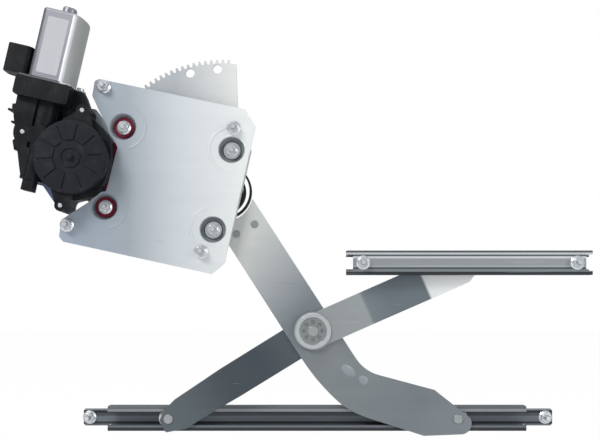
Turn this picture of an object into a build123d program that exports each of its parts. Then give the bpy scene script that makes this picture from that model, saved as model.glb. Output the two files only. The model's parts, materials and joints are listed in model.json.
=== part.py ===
from build123d import *
import os
from math import acos, atan2, cos, degrees, hypot, pi, radians, sin, sqrt, tan

os.makedirs("parts", exist_ok=True)

# Window regulator, glass down. Millimetres, X right, Y away from the cabin, Z up.
# Depths (Y) are counted from the front face of the mounting plate, which lies on the door's inner panel.
# The origin is on that face, midway between the upper left and the lower right door stud.

# Plate axes: the plate and the motor are turned in the door. The lift pivot is their zero point.
PLATE_TURN = -13.15
STUD_A = (-137.5, 73.4)
STUD_B = (-1.6, 62.5)
STUD_C = (-5.3, -65.3)
STUD_D = (-141.9, -69.8)
DISH_SPREAD = 41.0
DISH_PIVOT_U = 1.2
DISH_MOTOR_U = -109.7
DISH_MOTOR_W = -2.4

# Sheet thicknesses and the depth of each layer
PLATE_T = 2.0
BRACKET_T = 3.0
ARM_T = 2.5
DISH_DEPTH = 6.0
LAYER_GAP = 1.0
SLIP_GAP = 0.5
BRACKET_Y = DISH_DEPTH + PLATE_T
BRACKET_BACK = BRACKET_Y + BRACKET_T
LIFT_Y = BRACKET_BACK + LAYER_GAP
LIFT_BACK = LIFT_Y + ARM_T
SECTOR_Y = LIFT_BACK
SECTOR_BACK = SECTOR_Y + ARM_T
UPPER_BACK = LIFT_Y - SLIP_GAP
UPPER_Y = UPPER_BACK - ARM_T
LOWER_Y = LIFT_BACK + SLIP_GAP
LOWER_BACK = LOWER_Y + ARM_T
UPPER_END_Y = 4.5
REAR_END_Y = 29.0
REAR_END_BACK = REAR_END_Y + ARM_T

# Linkage: equal halves on both sides of the hub keep the glass channel level
LIFT_REACH = 169.2
LIFT_TURN = -57.05
RAIL_REACH = 176.5
RAIL_TURN = 31.5
GUIDE_TURN = 23.8

# Clearances
RUN = 0.08
FIT = 0.05
ROLL_GAP = 0.3

# Screws and studs of one size
THREAD_R = 3.0
CORE_R = 2.7
NECK_R = 3.5
NUT_FLATS = 10.0
NUT_H = 6.0
NUT_FLANGE_R = 7.1
NUT_FLANGE_T = 1.4
NUT_BORE_R = CORE_R + FIT
STUD_LAND = 1.0
NUT_RELIEF_R = 4.5
NUT_RELIEF = 1.2
DOOR_STUD_L = 9.5
STUD_HEAD_R = 6.5
DOOR_STUD_HEAD_R = 4.8
STUD_HEAD_T = 1.6

# Gear pair
MODULE = 1.91
SECTOR_TEETH = 139
PINION_TEETH = 15
PRESSURE = radians(20)
ADDENDUM = 0.9 * MODULE
DEDENDUM = 1.2 * MODULE
BACKLASH = 0.4
SECTOR_START = 84.5
SECTOR_END = 176.0
SECTOR_EDGE = 13.7
SECTOR_FLARE = 4.0
SPRING_NOTCH_R = 31.4
PINION_TURN = 182.06


def turned(u, w, turn, zero=(0.0, 0.0)):
    """A point given along axes turned in the door's plane, in X and Z."""
    c, s = cos(radians(turn)), sin(radians(turn))
    return (zero[0] + u * c - w * s, zero[1] + u * s + w * c)


_ac = ((STUD_A[0] + STUD_C[0]) / 2, (STUD_A[1] + STUD_C[1]) / 2)
LIFT_PIVOT = turned(-_ac[0], -_ac[1], PLATE_TURN)
HUB = turned(LIFT_REACH, 0, LIFT_TURN, LIFT_PIVOT)
LIFT_END = turned(RAIL_REACH, 0, -RAIL_TURN, HUB)
LOWER_END = turned(RAIL_REACH, 0, 180 + RAIL_TURN, HUB)
GUIDE_END = turned(LIFT_REACH, 0, GUIDE_TURN, HUB)
SECTOR_PITCH_R = MODULE * SECTOR_TEETH / 2
PINION_PITCH_R = MODULE * PINION_TEETH / 2
CENTRES = SECTOR_PITCH_R + PINION_PITCH_R


def on_plate(u, w):
    """A point given in plate axes, in X and Z."""
    return turned(u, w, PLATE_TURN, LIFT_PIVOT)


def facing(depth, spot=(0.0, 0.0), turn=0.0):
    """A sketch plane parallel to the plate. Its x and y are the turned axes; it extrudes forwards."""
    c, s = cos(radians(turn)), sin(radians(turn))
    return Plane(origin=(spot[0], depth, spot[1]), x_dir=(c, 0, s), z_dir=(0, -1, 0))


def plate_plane(depth, u=0.0, w=0.0):
    """A sketch plane parallel to the plate, in plate axes."""
    return facing(depth, on_plate(u, w), PLATE_TURN)


def side(spot, turn):
    """A sketch plane on edge: its x runs along a turned arm, and its y is depth."""
    c, s = cos(radians(turn)), sin(radians(turn))
    return Plane(origin=(spot[0], 0, spot[1]), x_dir=(c, 0, s), z_dir=(-s, 0, c))


def depth_axis(spot):
    return Axis((spot[0], 0, spot[1]), (0, 1, 0))


def bent_sheet(bend_start, bend_end, front, end_front, reach=400.0):
    """Edge view of a sheet that steps from one depth to another, the same thickness all along."""
    slope = atan2(end_front - front, bend_end - bend_start)
    shift = ARM_T * tan(slope / 2)
    return [
        (-reach, front),
        (bend_start, front),
        (bend_end, end_front),
        (reach, end_front),
        (reach, end_front + ARM_T),
        (bend_end - shift, end_front + ARM_T),
        (bend_start - shift, front + ARM_T),
        (-reach, front + ARM_T),
    ]


def tooth_outline(teeth, root_r, tip_r, steps=5):
    """One involute tooth about the +X axis of its gear."""
    pitch_r = MODULE * teeth / 2
    base_r = pitch_r * cos(PRESSURE)
    half_pitch = pi / (2 * teeth) - BACKLASH / (2 * pitch_r)
    start_r = max(base_r, root_r)
    upper = [(root_r - 0.5, half_pitch + tan(PRESSURE) - PRESSURE)]
    for i in range(steps + 1):
        r = start_r + (tip_r - start_r) * i / steps
        a = acos(min(1.0, base_r / r))
        upper.append((r, half_pitch + (tan(PRESSURE) - PRESSURE) - (tan(a) - a)))
    upper[0] = (root_r - 0.5, upper[1][1])
    flank = [(r * cos(a), r * sin(a)) for r, a in upper]
    return flank + [(x, -y) for x, y in reversed(flank)]


def revolved(spot, profile, mode=Mode.ADD):
    """Turns a closed outline of (radius, depth) points about the depth axis at a spot."""
    with BuildSketch(side(spot, 0)) as outline:
        with BuildLine():
            Polyline(*profile, close=True)
        make_face()
    revolve(outline.sketch, axis=depth_axis(spot), mode=mode)


def flange_nut(spot, seat, height=NUT_H, bore_r=NUT_BORE_R, relief=NUT_RELIEF):
    """A hexagon flange nut that stands forwards from its seat, with the relief under its flange."""
    with BuildSketch(facing(seat, spot, 15)) as hexagon:
        RegularPolygon(radius=NUT_FLATS / 2, side_count=6, major_radius=False)
    extrude(hexagon.sketch, amount=height)
    corner_r = NUT_FLATS / 2 / cos(pi / 6)
    crown = seat - height
    cone = 0.9
    revolved(
        spot,
        [
            (corner_r - cone, crown - 1),
            (corner_r + 1, crown - 1),
            (corner_r + 1, crown + cone),
            (corner_r - cone, crown),
        ],
        Mode.SUBTRACT,
    )
    flange = seat - NUT_FLANGE_T
    revolved(
        spot,
        [
            (0, seat),
            (NUT_FLANGE_R, seat),
            (NUT_FLANGE_R, flange + 0.5),
            (corner_r, flange - 0.6),
            (0, flange - 0.6),
        ],
    )
    for r, back, front in ((bore_r, seat, crown), (NUT_RELIEF_R, seat, seat - relief)):
        if back > front:
            with BuildSketch(facing(back, spot)) as bore:
                Circle(r)
            extrude(bore.sketch, amount=back - front, mode=Mode.SUBTRACT)


def mounting_stud(spot, seat, length, sheet, head_r=STUD_HEAD_R, head_t=STUD_HEAD_T):
    """A stud with its head behind a sheet: neck, plain land, stretch inside the nut and free end."""
    tip = seat - length
    point = 0.6
    revolved(
        spot,
        [
            (0, seat + sheet + head_t),
            (head_r - 0.4, seat + sheet + head_t),
            (head_r, seat + sheet + head_t - 0.4),
            (head_r, seat + sheet),
            (NECK_R, seat + sheet),
            (NECK_R, seat),
            (THREAD_R, seat),
            (THREAD_R, seat - STUD_LAND),
            (CORE_R, seat - STUD_LAND),
            (CORE_R, seat - NUT_H),
            (THREAD_R, seat - NUT_H),
            (THREAD_R, tip + point),
            (THREAD_R - point, tip),
            (0, tip),
        ],
    )


# Base plate, with four dishes pressed towards the door's outer skin
PLATE_CORNER_R = 2.5
PLATE_OUTLINE = [
    (-147.7, 77.0),
    (-143.4, 79.8),
    (5.0, 83.5),
    (19.3, 69.0),
    (20.3, -71.0),
    (10.0, -84.6),
    (-142.0, -86.9),
    (-147.0, -83.0),
    (-148.9, -66.0),
    (-111.5, -27.5),
    (-110.5, 17.5),
    (-124.0, 34.2),
    (-136.0, 48.0),
    (-146.8, 62.0),
]
DISH_R = 10.8
DISH_RIM_R = 13.4
DISH_SLOPE_SHIFT = 1.2
DISH_COLLAR = 1.8
DISH_HOLE_R = 3.4
GROMMET_NECK_R = 5.2
DOOR_STUDS = [STUD_A, STUD_B, STUD_C, STUD_D]
PIVOT_DISHES = [(DISH_PIVOT_U, DISH_SPREAD), (DISH_PIVOT_U, -DISH_SPREAD)]
MOTOR_DISHES = [(DISH_MOTOR_U, DISH_MOTOR_W + side_w) for side_w in (DISH_SPREAD, -DISH_SPREAD)]

with BuildPart() as mounting_plate:
    with BuildSketch(plate_plane(PLATE_T)):
        with BuildLine():
            Polyline(*PLATE_OUTLINE, close=True)
        make_face()
        fillet(vertices(), radius=PLATE_CORNER_R)
        with Locations(*MOTOR_DISHES):
            Circle(DISH_RIM_R + DISH_COLLAR)
        with Locations(*PIVOT_DISHES, *MOTOR_DISHES):
            Circle(DISH_RIM_R + DISH_SLOPE_SHIFT, mode=Mode.SUBTRACT)
    extrude(amount=PLATE_T)
    for u, w in PIVOT_DISHES + MOTOR_DISHES:
        hole_r = DISH_HOLE_R if u == DISH_PIVOT_U else GROMMET_NECK_R + FIT
        revolved(
            on_plate(u, w),
            [
                (DISH_RIM_R + DISH_SLOPE_SHIFT, 0),
                (DISH_RIM_R, 0),
                (DISH_R, DISH_DEPTH),
                (hole_r, DISH_DEPTH),
                (hole_r, BRACKET_Y),
                (DISH_R + DISH_SLOPE_SHIFT, BRACKET_Y),
                (DISH_RIM_R + DISH_SLOPE_SHIFT, PLATE_T),
            ],
        )
    with BuildSketch(plate_plane(PLATE_T)):
        with Locations(*DOOR_STUDS):
            Circle(NECK_R + FIT)
    extrude(amount=PLATE_T, mode=Mode.SUBTRACT)
mounting_plate.part.label = "mounting_plate"
export_step(mounting_plate.part, "parts/mounting_plate.step")

with BuildPart() as door_studs:
    for u, w in DOOR_STUDS:
        mounting_stud(on_plate(u, w), 0, DOOR_STUD_L, PLATE_T, DOOR_STUD_HEAD_R)
door_studs.part.label = "door_studs"
export_step(door_studs.part, "parts/door_studs.step")

with BuildPart() as door_stud_nuts:
    for u, w in DOOR_STUDS:
        flange_nut(on_plate(u, w), 0)
door_stud_nuts.part.label = "door_stud_nuts"
export_step(door_stud_nuts.part, "parts/door_stud_nuts.step")

# Pivot bracket behind the two right-hand dishes, and the pin that the arm turns on
PIN_R = 6.0
PIN_SEAT_R = 8.0
PIN_HEAD_R = 11.0
PIN_HEAD_T = 1.6
SPRING_GAP = 0.9
SPRING_W = 6.5
SPRING_Y = SECTOR_BACK + SPRING_GAP + 0.3
SPRING_BACK = SPRING_Y + SPRING_W
RING_T = 0.8
RING_Y = SPRING_BACK + 0.2
RING_R = 9.0
RING_GROOVE_R = 4.6
PIN_BACK = RING_Y + RING_T + 0.6
BRACKET_STUD_R = 2.95
BRACKET_STUD_TIP = -3.5
PIVOT_BRACKET_HALF_W = 20.0
PIVOT_BRACKET_END = DISH_SPREAD + 14.0

with BuildPart() as pivot_bracket:
    with BuildSketch(plate_plane(BRACKET_BACK)):
        Rectangle(2 * PIVOT_BRACKET_HALF_W, 2 * PIVOT_BRACKET_END)
        chamfer(vertices(), length=9)
    extrude(amount=BRACKET_T)
    with BuildSketch(plate_plane(BRACKET_BACK)):
        Circle(PIN_SEAT_R + FIT)
        with Locations(*PIVOT_DISHES):
            Circle(NECK_R + FIT)
    extrude(amount=BRACKET_T, mode=Mode.SUBTRACT)
pivot_bracket.part.label = "pivot_bracket"
export_step(pivot_bracket.part, "parts/pivot_bracket.step")

with BuildPart() as pivot_pin:
    revolved(
        LIFT_PIVOT,
        [
            (0, BRACKET_Y - PIN_HEAD_T),
            (PIN_HEAD_R, BRACKET_Y - PIN_HEAD_T),
            (PIN_HEAD_R, BRACKET_Y),
            (PIN_SEAT_R, BRACKET_Y),
            (PIN_SEAT_R, BRACKET_BACK),
            (PIN_R, BRACKET_BACK),
            (PIN_R, RING_Y),
            (RING_GROOVE_R, RING_Y),
            (RING_GROOVE_R, RING_Y + RING_T),
            (PIN_R - 0.5, RING_Y + RING_T),
            (PIN_R - 1.0, PIN_BACK),
            (0, PIN_BACK),
        ],
    )
pivot_pin.part.label = "pivot_pin"
export_step(pivot_pin.part, "parts/pivot_pin.step")

with BuildPart() as pivot_ring:
    with BuildSketch(facing(RING_Y + RING_T, LIFT_PIVOT)):
        Circle(RING_R)
        Circle(RING_GROOVE_R + FIT, mode=Mode.SUBTRACT)
        with Locations((RING_R, 0)):
            Rectangle(2 * RING_R, 5.0, mode=Mode.SUBTRACT)
    extrude(amount=RING_T)
pivot_ring.part.label = "pivot_ring"
export_step(pivot_ring.part, "parts/pivot_ring.step")

# Studs of both brackets, their nuts, and what lies under the nuts in the dishes
WASHER_R = 8.6
WASHER_T = 1.2
WASHER_BORE_R = THREAD_R + 0.3
GROMMET_R = 10.4
GROMMET_T = 1.6

with BuildPart() as bracket_studs:
    for u, w in PIVOT_DISHES + MOTOR_DISHES:
        revolved(
            on_plate(u, w),
            [
                (0, BRACKET_BACK),
                (NECK_R, BRACKET_BACK),
                (NECK_R, BRACKET_Y),
                (BRACKET_STUD_R, BRACKET_Y),
                (BRACKET_STUD_R, BRACKET_STUD_TIP + 0.6),
                (BRACKET_STUD_R - 0.6, BRACKET_STUD_TIP),
                (0, BRACKET_STUD_TIP),
            ],
        )
bracket_studs.part.label = "bracket_studs"
export_step(bracket_studs.part, "parts/bracket_studs.step")

with BuildPart() as pivot_washers:
    for u, w in PIVOT_DISHES:
        with BuildSketch(plate_plane(DISH_DEPTH, u, w)) as disc:
            Circle(WASHER_R)
            Circle(WASHER_BORE_R, mode=Mode.SUBTRACT)
        extrude(disc.sketch, amount=WASHER_T)
pivot_washers.part.label = "pivot_washers"
export_step(pivot_washers.part, "parts/pivot_washers.step")

with BuildPart() as pivot_bracket_nuts:
    for u, w in PIVOT_DISHES:
        flange_nut(on_plate(u, w), DISH_DEPTH - WASHER_T, bore_r=BRACKET_STUD_R + FIT, relief=0)
pivot_bracket_nuts.part.label = "pivot_bracket_nuts"
export_step(pivot_bracket_nuts.part, "parts/pivot_bracket_nuts.step")

with BuildPart() as isolator_grommets:
    for u, w in MOTOR_DISHES:
        revolved(
            on_plate(u, w),
            [
                (BRACKET_STUD_R + FIT, DISH_DEPTH - GROMMET_T),
                (GROMMET_R - 0.6, DISH_DEPTH - GROMMET_T),
                (GROMMET_R, DISH_DEPTH - GROMMET_T + 0.6),
                (GROMMET_R, DISH_DEPTH),
                (GROMMET_NECK_R, DISH_DEPTH),
                (GROMMET_NECK_R, BRACKET_Y),
                (BRACKET_STUD_R + FIT, BRACKET_Y),
            ],
        )
isolator_grommets.part.label = "isolator_grommets"
export_step(isolator_grommets.part, "parts/isolator_grommets.step")

with BuildPart() as motor_bracket_nuts:
    for u, w in MOTOR_DISHES:
        flange_nut(on_plate(u, w), DISH_DEPTH - GROMMET_T, bore_r=BRACKET_STUD_R + FIT, relief=0)
motor_bracket_nuts.part.label = "motor_bracket_nuts"
export_step(motor_bracket_nuts.part, "parts/motor_bracket_nuts.step")

# Motor bracket and gearbox. The gearbox is placed about its output shaft, in plate axes.
MOTOR_OFFSET = -36.9
GEAR_Y = -9.0
WORM_R = 6.0
WORM_GAP = 0.3
WHEEL_R = -MOTOR_OFFSET - WORM_R - WORM_GAP
WHEEL_T = 13.0
WHEEL_GAP = 4.0
HOUSING_FLOOR_Y = GEAR_Y + WHEEL_T / 2 + 1.5
HOUSING_FRONT = GEAR_Y - WHEEL_T / 2 - WHEEL_GAP
DRUM_R = 36.0
DRUM_REAR_R = 34.0
DRUM_STEP_Y = -3.0
DRUM_BORE_R = WHEEL_R + 1.8
SHAFT_R = 6.0
BUSH_R = 9.0
PINION_Y = BRACKET_BACK + 1.8
PINION_W = 6.5
PINION_TIP_R = PINION_PITCH_R + ADDENDUM
PINION_HOLE_R = PINION_TIP_R + 1.3
BOSSES = [(-51.3, 13.8), (0.6, 47.3), (0.8, -47.9)]
BOSS_R = 5.7
BOSS_Y = HOUSING_FRONT
BOLT_R = 2.2
BOLT_TIP = 0.8
BOLT_HEAD_R = 4.6
BOLT_HEAD_T = 2.6
BRACKET_OUTLINE = [
    (49.1, 60.0),
    (30.0, 60.0),
    (15.5, 47.0),
    (4.2, 56.5),
    (-12.0, 54.0),
    (-58.0, 24.0),
    (-58.0, 5.0),
    (-46.0, -31.0),
    (-30.5, -31.2),
    (-7.0, -52.8),
    (7.0, -53.6),
    (6.5, -40.5),
    (17.5, -34.5),
    (29.0, -51.7),
    (49.1, -51.7),
]
BRACKET_CORNER_R = 4.0
FLANGE_W = 66.3
MOUTH_DEPTH = 19.0
MOUTH_LEFT = -67.0
MOUTH_RIGHT = -13.0
MOUTH_FRONT = -26.0
MOUTH_BACK = 6.0
CASE_TOP = FLANGE_W - MOUTH_DEPTH + 4.7
BRUSH_ROOM = 25.0
WORM_TUBE_R = 10.4
WORM_TUBE_HALF = 11.5
WORM_TUBE_BACK = 5.0
WORM_TUBE_LOW = -30.0
WORM_BORE_R = 8.0
OUTPUT_UW = turned(CENTRES, 0, PINION_TURN)


def gearbox_plane(depth, u=0.0, w=0.0):
    """A sketch plane in plate axes, counted from the output shaft."""
    return plate_plane(depth, OUTPUT_UW[0] + u, OUTPUT_UW[1] + w)


def from_output(u, w):
    return on_plate(OUTPUT_UW[0] + u, OUTPUT_UW[1] + w)


def motor_plane(w):
    """A sketch plane across the motor shaft: x is along the plate, y is depth, and it extrudes along w."""
    x, z = from_output(MOTOR_OFFSET, w)
    c, s = cos(radians(PLATE_TURN)), sin(radians(PLATE_TURN))
    return Plane(origin=(x, GEAR_Y, z), x_dir=(c, 0, s), z_dir=(-s, 0, c))


with BuildPart() as motor_bracket:
    with BuildSketch(gearbox_plane(BRACKET_BACK)):
        with BuildLine():
            Polyline(*BRACKET_OUTLINE, close=True)
        make_face()
        fillet(vertices(), radius=BRACKET_CORNER_R)
        Circle(PINION_HOLE_R, mode=Mode.SUBTRACT)
        with Locations(*BOSSES):
            Circle(BOLT_R + FIT, mode=Mode.SUBTRACT)
    extrude(amount=BRACKET_T)
    with BuildSketch(plate_plane(BRACKET_BACK)):
        with Locations(*MOTOR_DISHES):
            Circle(NECK_R + FIT)
    extrude(amount=BRACKET_T, mode=Mode.SUBTRACT)
motor_bracket.part.label = "motor_bracket"
export_step(motor_bracket.part, "parts/motor_bracket.step")

PAD_LEFT = -116.5
PAD_RIGHT = -101.0
PAD_LOW = -26.0
PAD_HIGH = 22.0

with BuildPart() as isolation_pad:
    with BuildSketch(plate_plane(BRACKET_Y)):
        with Locations(((PAD_LEFT + PAD_RIGHT) / 2, (PAD_LOW + PAD_HIGH) / 2)):
            Rectangle(PAD_RIGHT - PAD_LEFT, PAD_HIGH - PAD_LOW)
        fillet(vertices(), radius=3)
        with Locations(OUTPUT_UW):
            Circle(DRUM_REAR_R + 0.8, mode=Mode.SUBTRACT)
    extrude(amount=BRACKET_Y - PLATE_T)
isolation_pad.part.label = "isolation_pad"
export_step(isolation_pad.part, "parts/isolation_pad.step")

COVER_T = 3.0
COVER_HUB_R = 3.6
COVER_HUB_RISE = 1.6
COVER_FRONT = HOUSING_FRONT - COVER_T
COVER_PANEL_R = 17.5
COVER_PANEL_D = 1.2
COVER_RING_R = 10.0
COVER_RING_W = 1.4
COVER_SPOKES = 10
COVER_SPOKE_TURN = 17.0
SPOKE_IN_R = COVER_PANEL_R - 1.6
SPOKE_OUT_R = DRUM_R - 4.0
SPOKE_W = 1.5
SPOKE_T = 0.9
LEG_U = -35.6
LEG_W = 11.0
LEG_D = 11.0
LEG_FRONT = -18.0
LEG_BOTTOM = -41.2
FIN_W = 2.0
SKIRT_BACK = -0.9
SKIRT_T = 10.0
SKIRT_OUTLINE = [
    (5.7, 43.6),
    (16.0, 39.5),
    (24.5, 33.8),
    (29.7, 29.2),
    (33.4, 22.0),
    (35.0, 13.9),
    (36.2, 3.4),
    (35.6, -8.3),
    (34.6, -16.1),
    (31.0, -24.7),
    (26.5, -30.5),
    (20.7, -36.0),
    (12.0, -39.2),
    (5.0, -40.4),
    (0.0, 0.0),
]

with BuildPart() as gearbox_housing:
    with BuildSketch(gearbox_plane(BRACKET_Y)):
        Circle(DRUM_REAR_R)
    extrude(amount=BRACKET_Y - DRUM_STEP_Y)
    with BuildSketch(gearbox_plane(DRUM_STEP_Y)):
        Circle(DRUM_R)
    extrude(amount=DRUM_STEP_Y - HOUSING_FRONT)
    # Body round the worm, from the motor's mouth down to the leg
    with BuildSketch(motor_plane(WORM_TUBE_LOW)):
        Circle(WORM_TUBE_R)
        with Locations((0, (WORM_TUBE_BACK - GEAR_Y) / 2)):
            Rectangle(2 * WORM_TUBE_HALF, WORM_TUBE_BACK - GEAR_Y)
    extrude(amount=FLANGE_W - WORM_TUBE_LOW)
    # Skirt round the drum, in front of the plate's edge, and the wedge down from the mouth to the upper ear
    with BuildSketch(gearbox_plane(SKIRT_BACK)):
        with BuildLine():
            Polyline(*SKIRT_OUTLINE, close=True)
        make_face()
        with BuildLine():
            Polyline(
                (-16, FLANGE_W),
                (-5.5, FLANGE_W),
                (-2, FLANGE_W - 4.3),
                (5.5, 50),
                (-2, 42),
                (-16, 42),
                close=True,
            )
        make_face()
    extrude(amount=SKIRT_T)
    with BuildSketch(gearbox_plane(LEG_FRONT + LEG_D)):
        with Locations((LEG_U, (WORM_TUBE_LOW + 1 + LEG_BOTTOM) / 2)):
            Rectangle(LEG_W, WORM_TUBE_LOW + 1 - LEG_BOTTOM)
    extrude(amount=LEG_D)
    # Mouth block under the motor's flange
    with BuildSketch(gearbox_plane(MOUTH_BACK)):
        with Locations(((MOUTH_LEFT + MOUTH_RIGHT) / 2, FLANGE_W - MOUTH_DEPTH / 2)):
            Rectangle(MOUTH_RIGHT - MOUTH_LEFT, MOUTH_DEPTH)
        fillet(vertices(), radius=3)
    extrude(amount=MOUTH_BACK - MOUTH_FRONT)
    # Electronics case on the left, stepped down towards the leg
    with BuildSketch(gearbox_plane(1)):
        with BuildLine():
            Polyline(
                (-44, CASE_TOP),
                (-64.3, CASE_TOP),
                (-63.9, 39),
                (-66.8, 38.2),
                (-66.4, 34),
                (-64.5, 31.6),
                (-61.9, 23),
                (-59.9, 19),
                (-60.3, 14),
                (-59.3, 8.7),
                (-57.2, 5.2),
                (-58.7, 3.1),
                (-55.3, -5.3),
                (-52, -5),
                (-46.5, -20.5),
                (-44, -27),
                (-40, -27),
                (-40, 0),
                (-44, 0),
                close=True,
            )
        make_face()
    extrude(amount=1 - HOUSING_FRONT)
    # Fins on the case's left flank
    with BuildSketch(gearbox_plane(-3)):
        with Locations((-63.2, 21.5)):
            Rectangle(5, FIN_W)
        with Locations((-67.0, 32.8)):
            Rectangle(9, FIN_W)
    extrude(amount=13)
    # Three ears with the bracket bolts, and the webs that carry them
    with BuildSketch(gearbox_plane(BRACKET_Y)):
        with Locations(*BOSSES):
            Circle(BOSS_R)
        with BuildLine():
            Polyline((-5, 45), (6, 46), (19, 27), (-22, 27), close=True)
        make_face()
        with BuildLine():
            Polyline((-4.8, -47), (6, -47), (13, -28), (-15, -28), close=True)
        make_face()
        with BuildLine():
            Polyline((-53, 19), (-53, 8.5), (-30, 2), (-30, 24), close=True)
        make_face()
    extrude(amount=BRACKET_Y - BOSS_Y)
    # Inside: wheel room, output bush seat, worm bore, brush room and bolt holes
    with BuildSketch(gearbox_plane(HOUSING_FLOOR_Y)):
        Circle(DRUM_BORE_R)
    extrude(amount=HOUSING_FLOOR_Y - HOUSING_FRONT + 1, mode=Mode.SUBTRACT)
    with BuildSketch(gearbox_plane(BRACKET_Y)):
        Circle(BUSH_R + FIT)
    extrude(amount=BRACKET_Y - HOUSING_FLOOR_Y, mode=Mode.SUBTRACT)
    with BuildSketch(motor_plane(WORM_TUBE_LOW + 4)):
        Circle(WORM_BORE_R)
    extrude(amount=FLANGE_W - WORM_TUBE_LOW, mode=Mode.SUBTRACT)
    with BuildSketch(motor_plane(FLANGE_W - MOUTH_DEPTH + 3)):
        Rectangle(BRUSH_ROOM, BRUSH_ROOM)
    extrude(amount=MOUTH_DEPTH, mode=Mode.SUBTRACT)
    with BuildSketch(gearbox_plane(BRACKET_Y)):
        with Locations(*BOSSES):
            Circle(BOLT_R + FIT)
    extrude(amount=30, mode=Mode.SUBTRACT)
gearbox_housing.part.label = "gearbox_housing"
export_step(gearbox_housing.part, "parts/gearbox_housing.step")

with BuildPart() as gear_cover:
    with BuildSketch(gearbox_plane(HOUSING_FRONT)):
        Circle(DRUM_R)
    extrude(amount=COVER_T)
    fillet(gear_cover.faces().sort_by(Axis.Y)[0].edges(), radius=1.5)
    # Sunk panel with its ring and hub, and the grooves that run out from its corners
    with BuildSketch(gearbox_plane(COVER_FRONT)):
        RegularPolygon(radius=COVER_PANEL_R, side_count=COVER_SPOKES, rotation=COVER_SPOKE_TURN)
        Circle(COVER_RING_R, mode=Mode.SUBTRACT)
        Circle(COVER_RING_R - COVER_RING_W)
        Circle(COVER_HUB_R, mode=Mode.SUBTRACT)
    extrude(amount=-COVER_PANEL_D, mode=Mode.SUBTRACT)
    with BuildSketch(gearbox_plane(COVER_FRONT)):
        Circle(COVER_HUB_R - 0.8)
    extrude(amount=COVER_HUB_RISE)
    with BuildSketch(gearbox_plane(COVER_FRONT)):
        with PolarLocations((SPOKE_IN_R + SPOKE_OUT_R) / 2, COVER_SPOKES, start_angle=COVER_SPOKE_TURN):
            Rectangle(SPOKE_OUT_R - SPOKE_IN_R, SPOKE_W)
    extrude(amount=-SPOKE_T, mode=Mode.SUBTRACT)
gear_cover.part.label = "gear_cover"
export_step(gear_cover.part, "parts/gear_cover.step")

with BuildPart() as gearbox_bolts:
    head_back = BRACKET_BACK + BOLT_HEAD_T
    for u, w in BOSSES:
        spot = from_output(u, w)
        revolved(
            spot,
            [
                (0, head_back),
                (BOLT_HEAD_R - 0.5, head_back),
                (BOLT_HEAD_R, head_back - 0.5),
                (BOLT_HEAD_R, BRACKET_BACK),
                (BOLT_R, BRACKET_BACK),
                (BOLT_R, BOSS_Y - BOLT_TIP + 0.5),
                (BOLT_R - 0.5, BOSS_Y - BOLT_TIP),
                (0, BOSS_Y - BOLT_TIP),
            ],
        )
        with BuildSketch(facing(head_back, spot)) as socket:
            RegularPolygon(radius=2.2, side_count=6)
        extrude(socket.sketch, amount=1.6, mode=Mode.SUBTRACT)
gearbox_bolts.part.label = "gearbox_bolts"
export_step(gearbox_bolts.part, "parts/gearbox_bolts.step")

with BuildPart() as output_bush:
    revolved(
        from_output(0, 0),
        [
            (SHAFT_R + RUN, HOUSING_FLOOR_Y),
            (BUSH_R, HOUSING_FLOOR_Y),
            (BUSH_R, BRACKET_Y),
            (SHAFT_R + RUN, BRACKET_Y),
        ],
    )
output_bush.part.label = "output_bush"
export_step(output_bush.part, "parts/output_bush.step")

# Output gear: the moulded wheel that the worm turns, and the steel pinion on its shaft
WHEEL_FRONT = GEAR_Y - WHEEL_T / 2
WHEEL_BACK = GEAR_Y + WHEEL_T / 2
WHEEL_TEETH = 73
WHEEL_TOOTH_H = 1.6
WHEEL_RIM = 5.0
WHEEL_HUB_R = 11.0
WHEEL_WEB_D = 4.0
THRUST_R = 8.5

with BuildPart() as worm_wheel:
    with BuildSketch(gearbox_plane(WHEEL_BACK)):
        Circle(WHEEL_R - WHEEL_TOOTH_H)
        with PolarLocations(WHEEL_R - WHEEL_TOOTH_H / 2 - 0.2, WHEEL_TEETH):
            Rectangle(WHEEL_TOOTH_H + 0.4, 1.15)
        Circle(SHAFT_R + FIT, mode=Mode.SUBTRACT)
    extrude(amount=WHEEL_T)
    # Webs between hub and rim
    with BuildSketch(gearbox_plane(WHEEL_FRONT)):
        Circle(WHEEL_R - WHEEL_RIM)
        Circle(WHEEL_HUB_R, mode=Mode.SUBTRACT)
    extrude(amount=-WHEEL_WEB_D, mode=Mode.SUBTRACT)
worm_wheel.part.label = "worm_wheel"
export_step(worm_wheel.part, "parts/worm_wheel.step")

with BuildPart() as output_pinion:
    spot = from_output(0, 0)
    mesh_turn = PLATE_TURN + PINION_TURN - 180
    with BuildSketch(facing(PINION_Y + PINION_W, spot, mesh_turn)):
        Circle(PINION_PITCH_R - DEDENDUM)
        for i in range(PINION_TEETH):
            with BuildLine(Rot(0, 0, i * 360 / PINION_TEETH)):
                Polyline(*tooth_outline(PINION_TEETH, PINION_PITCH_R - DEDENDUM, PINION_TIP_R), close=True)
            make_face()
    extrude(amount=PINION_W)
    revolved(
        spot,
        [
            (0, PINION_Y + 1),
            (THRUST_R, PINION_Y + 1),
            (THRUST_R, BRACKET_Y + 0.3),
            (SHAFT_R, BRACKET_Y + 0.3),
            (SHAFT_R, WHEEL_FRONT - 0.6),
            (0, WHEEL_FRONT - 0.6),
        ],
    )
output_pinion.part.label = "output_pinion"
export_step(output_pinion.part, "parts/output_pinion.step")

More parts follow.
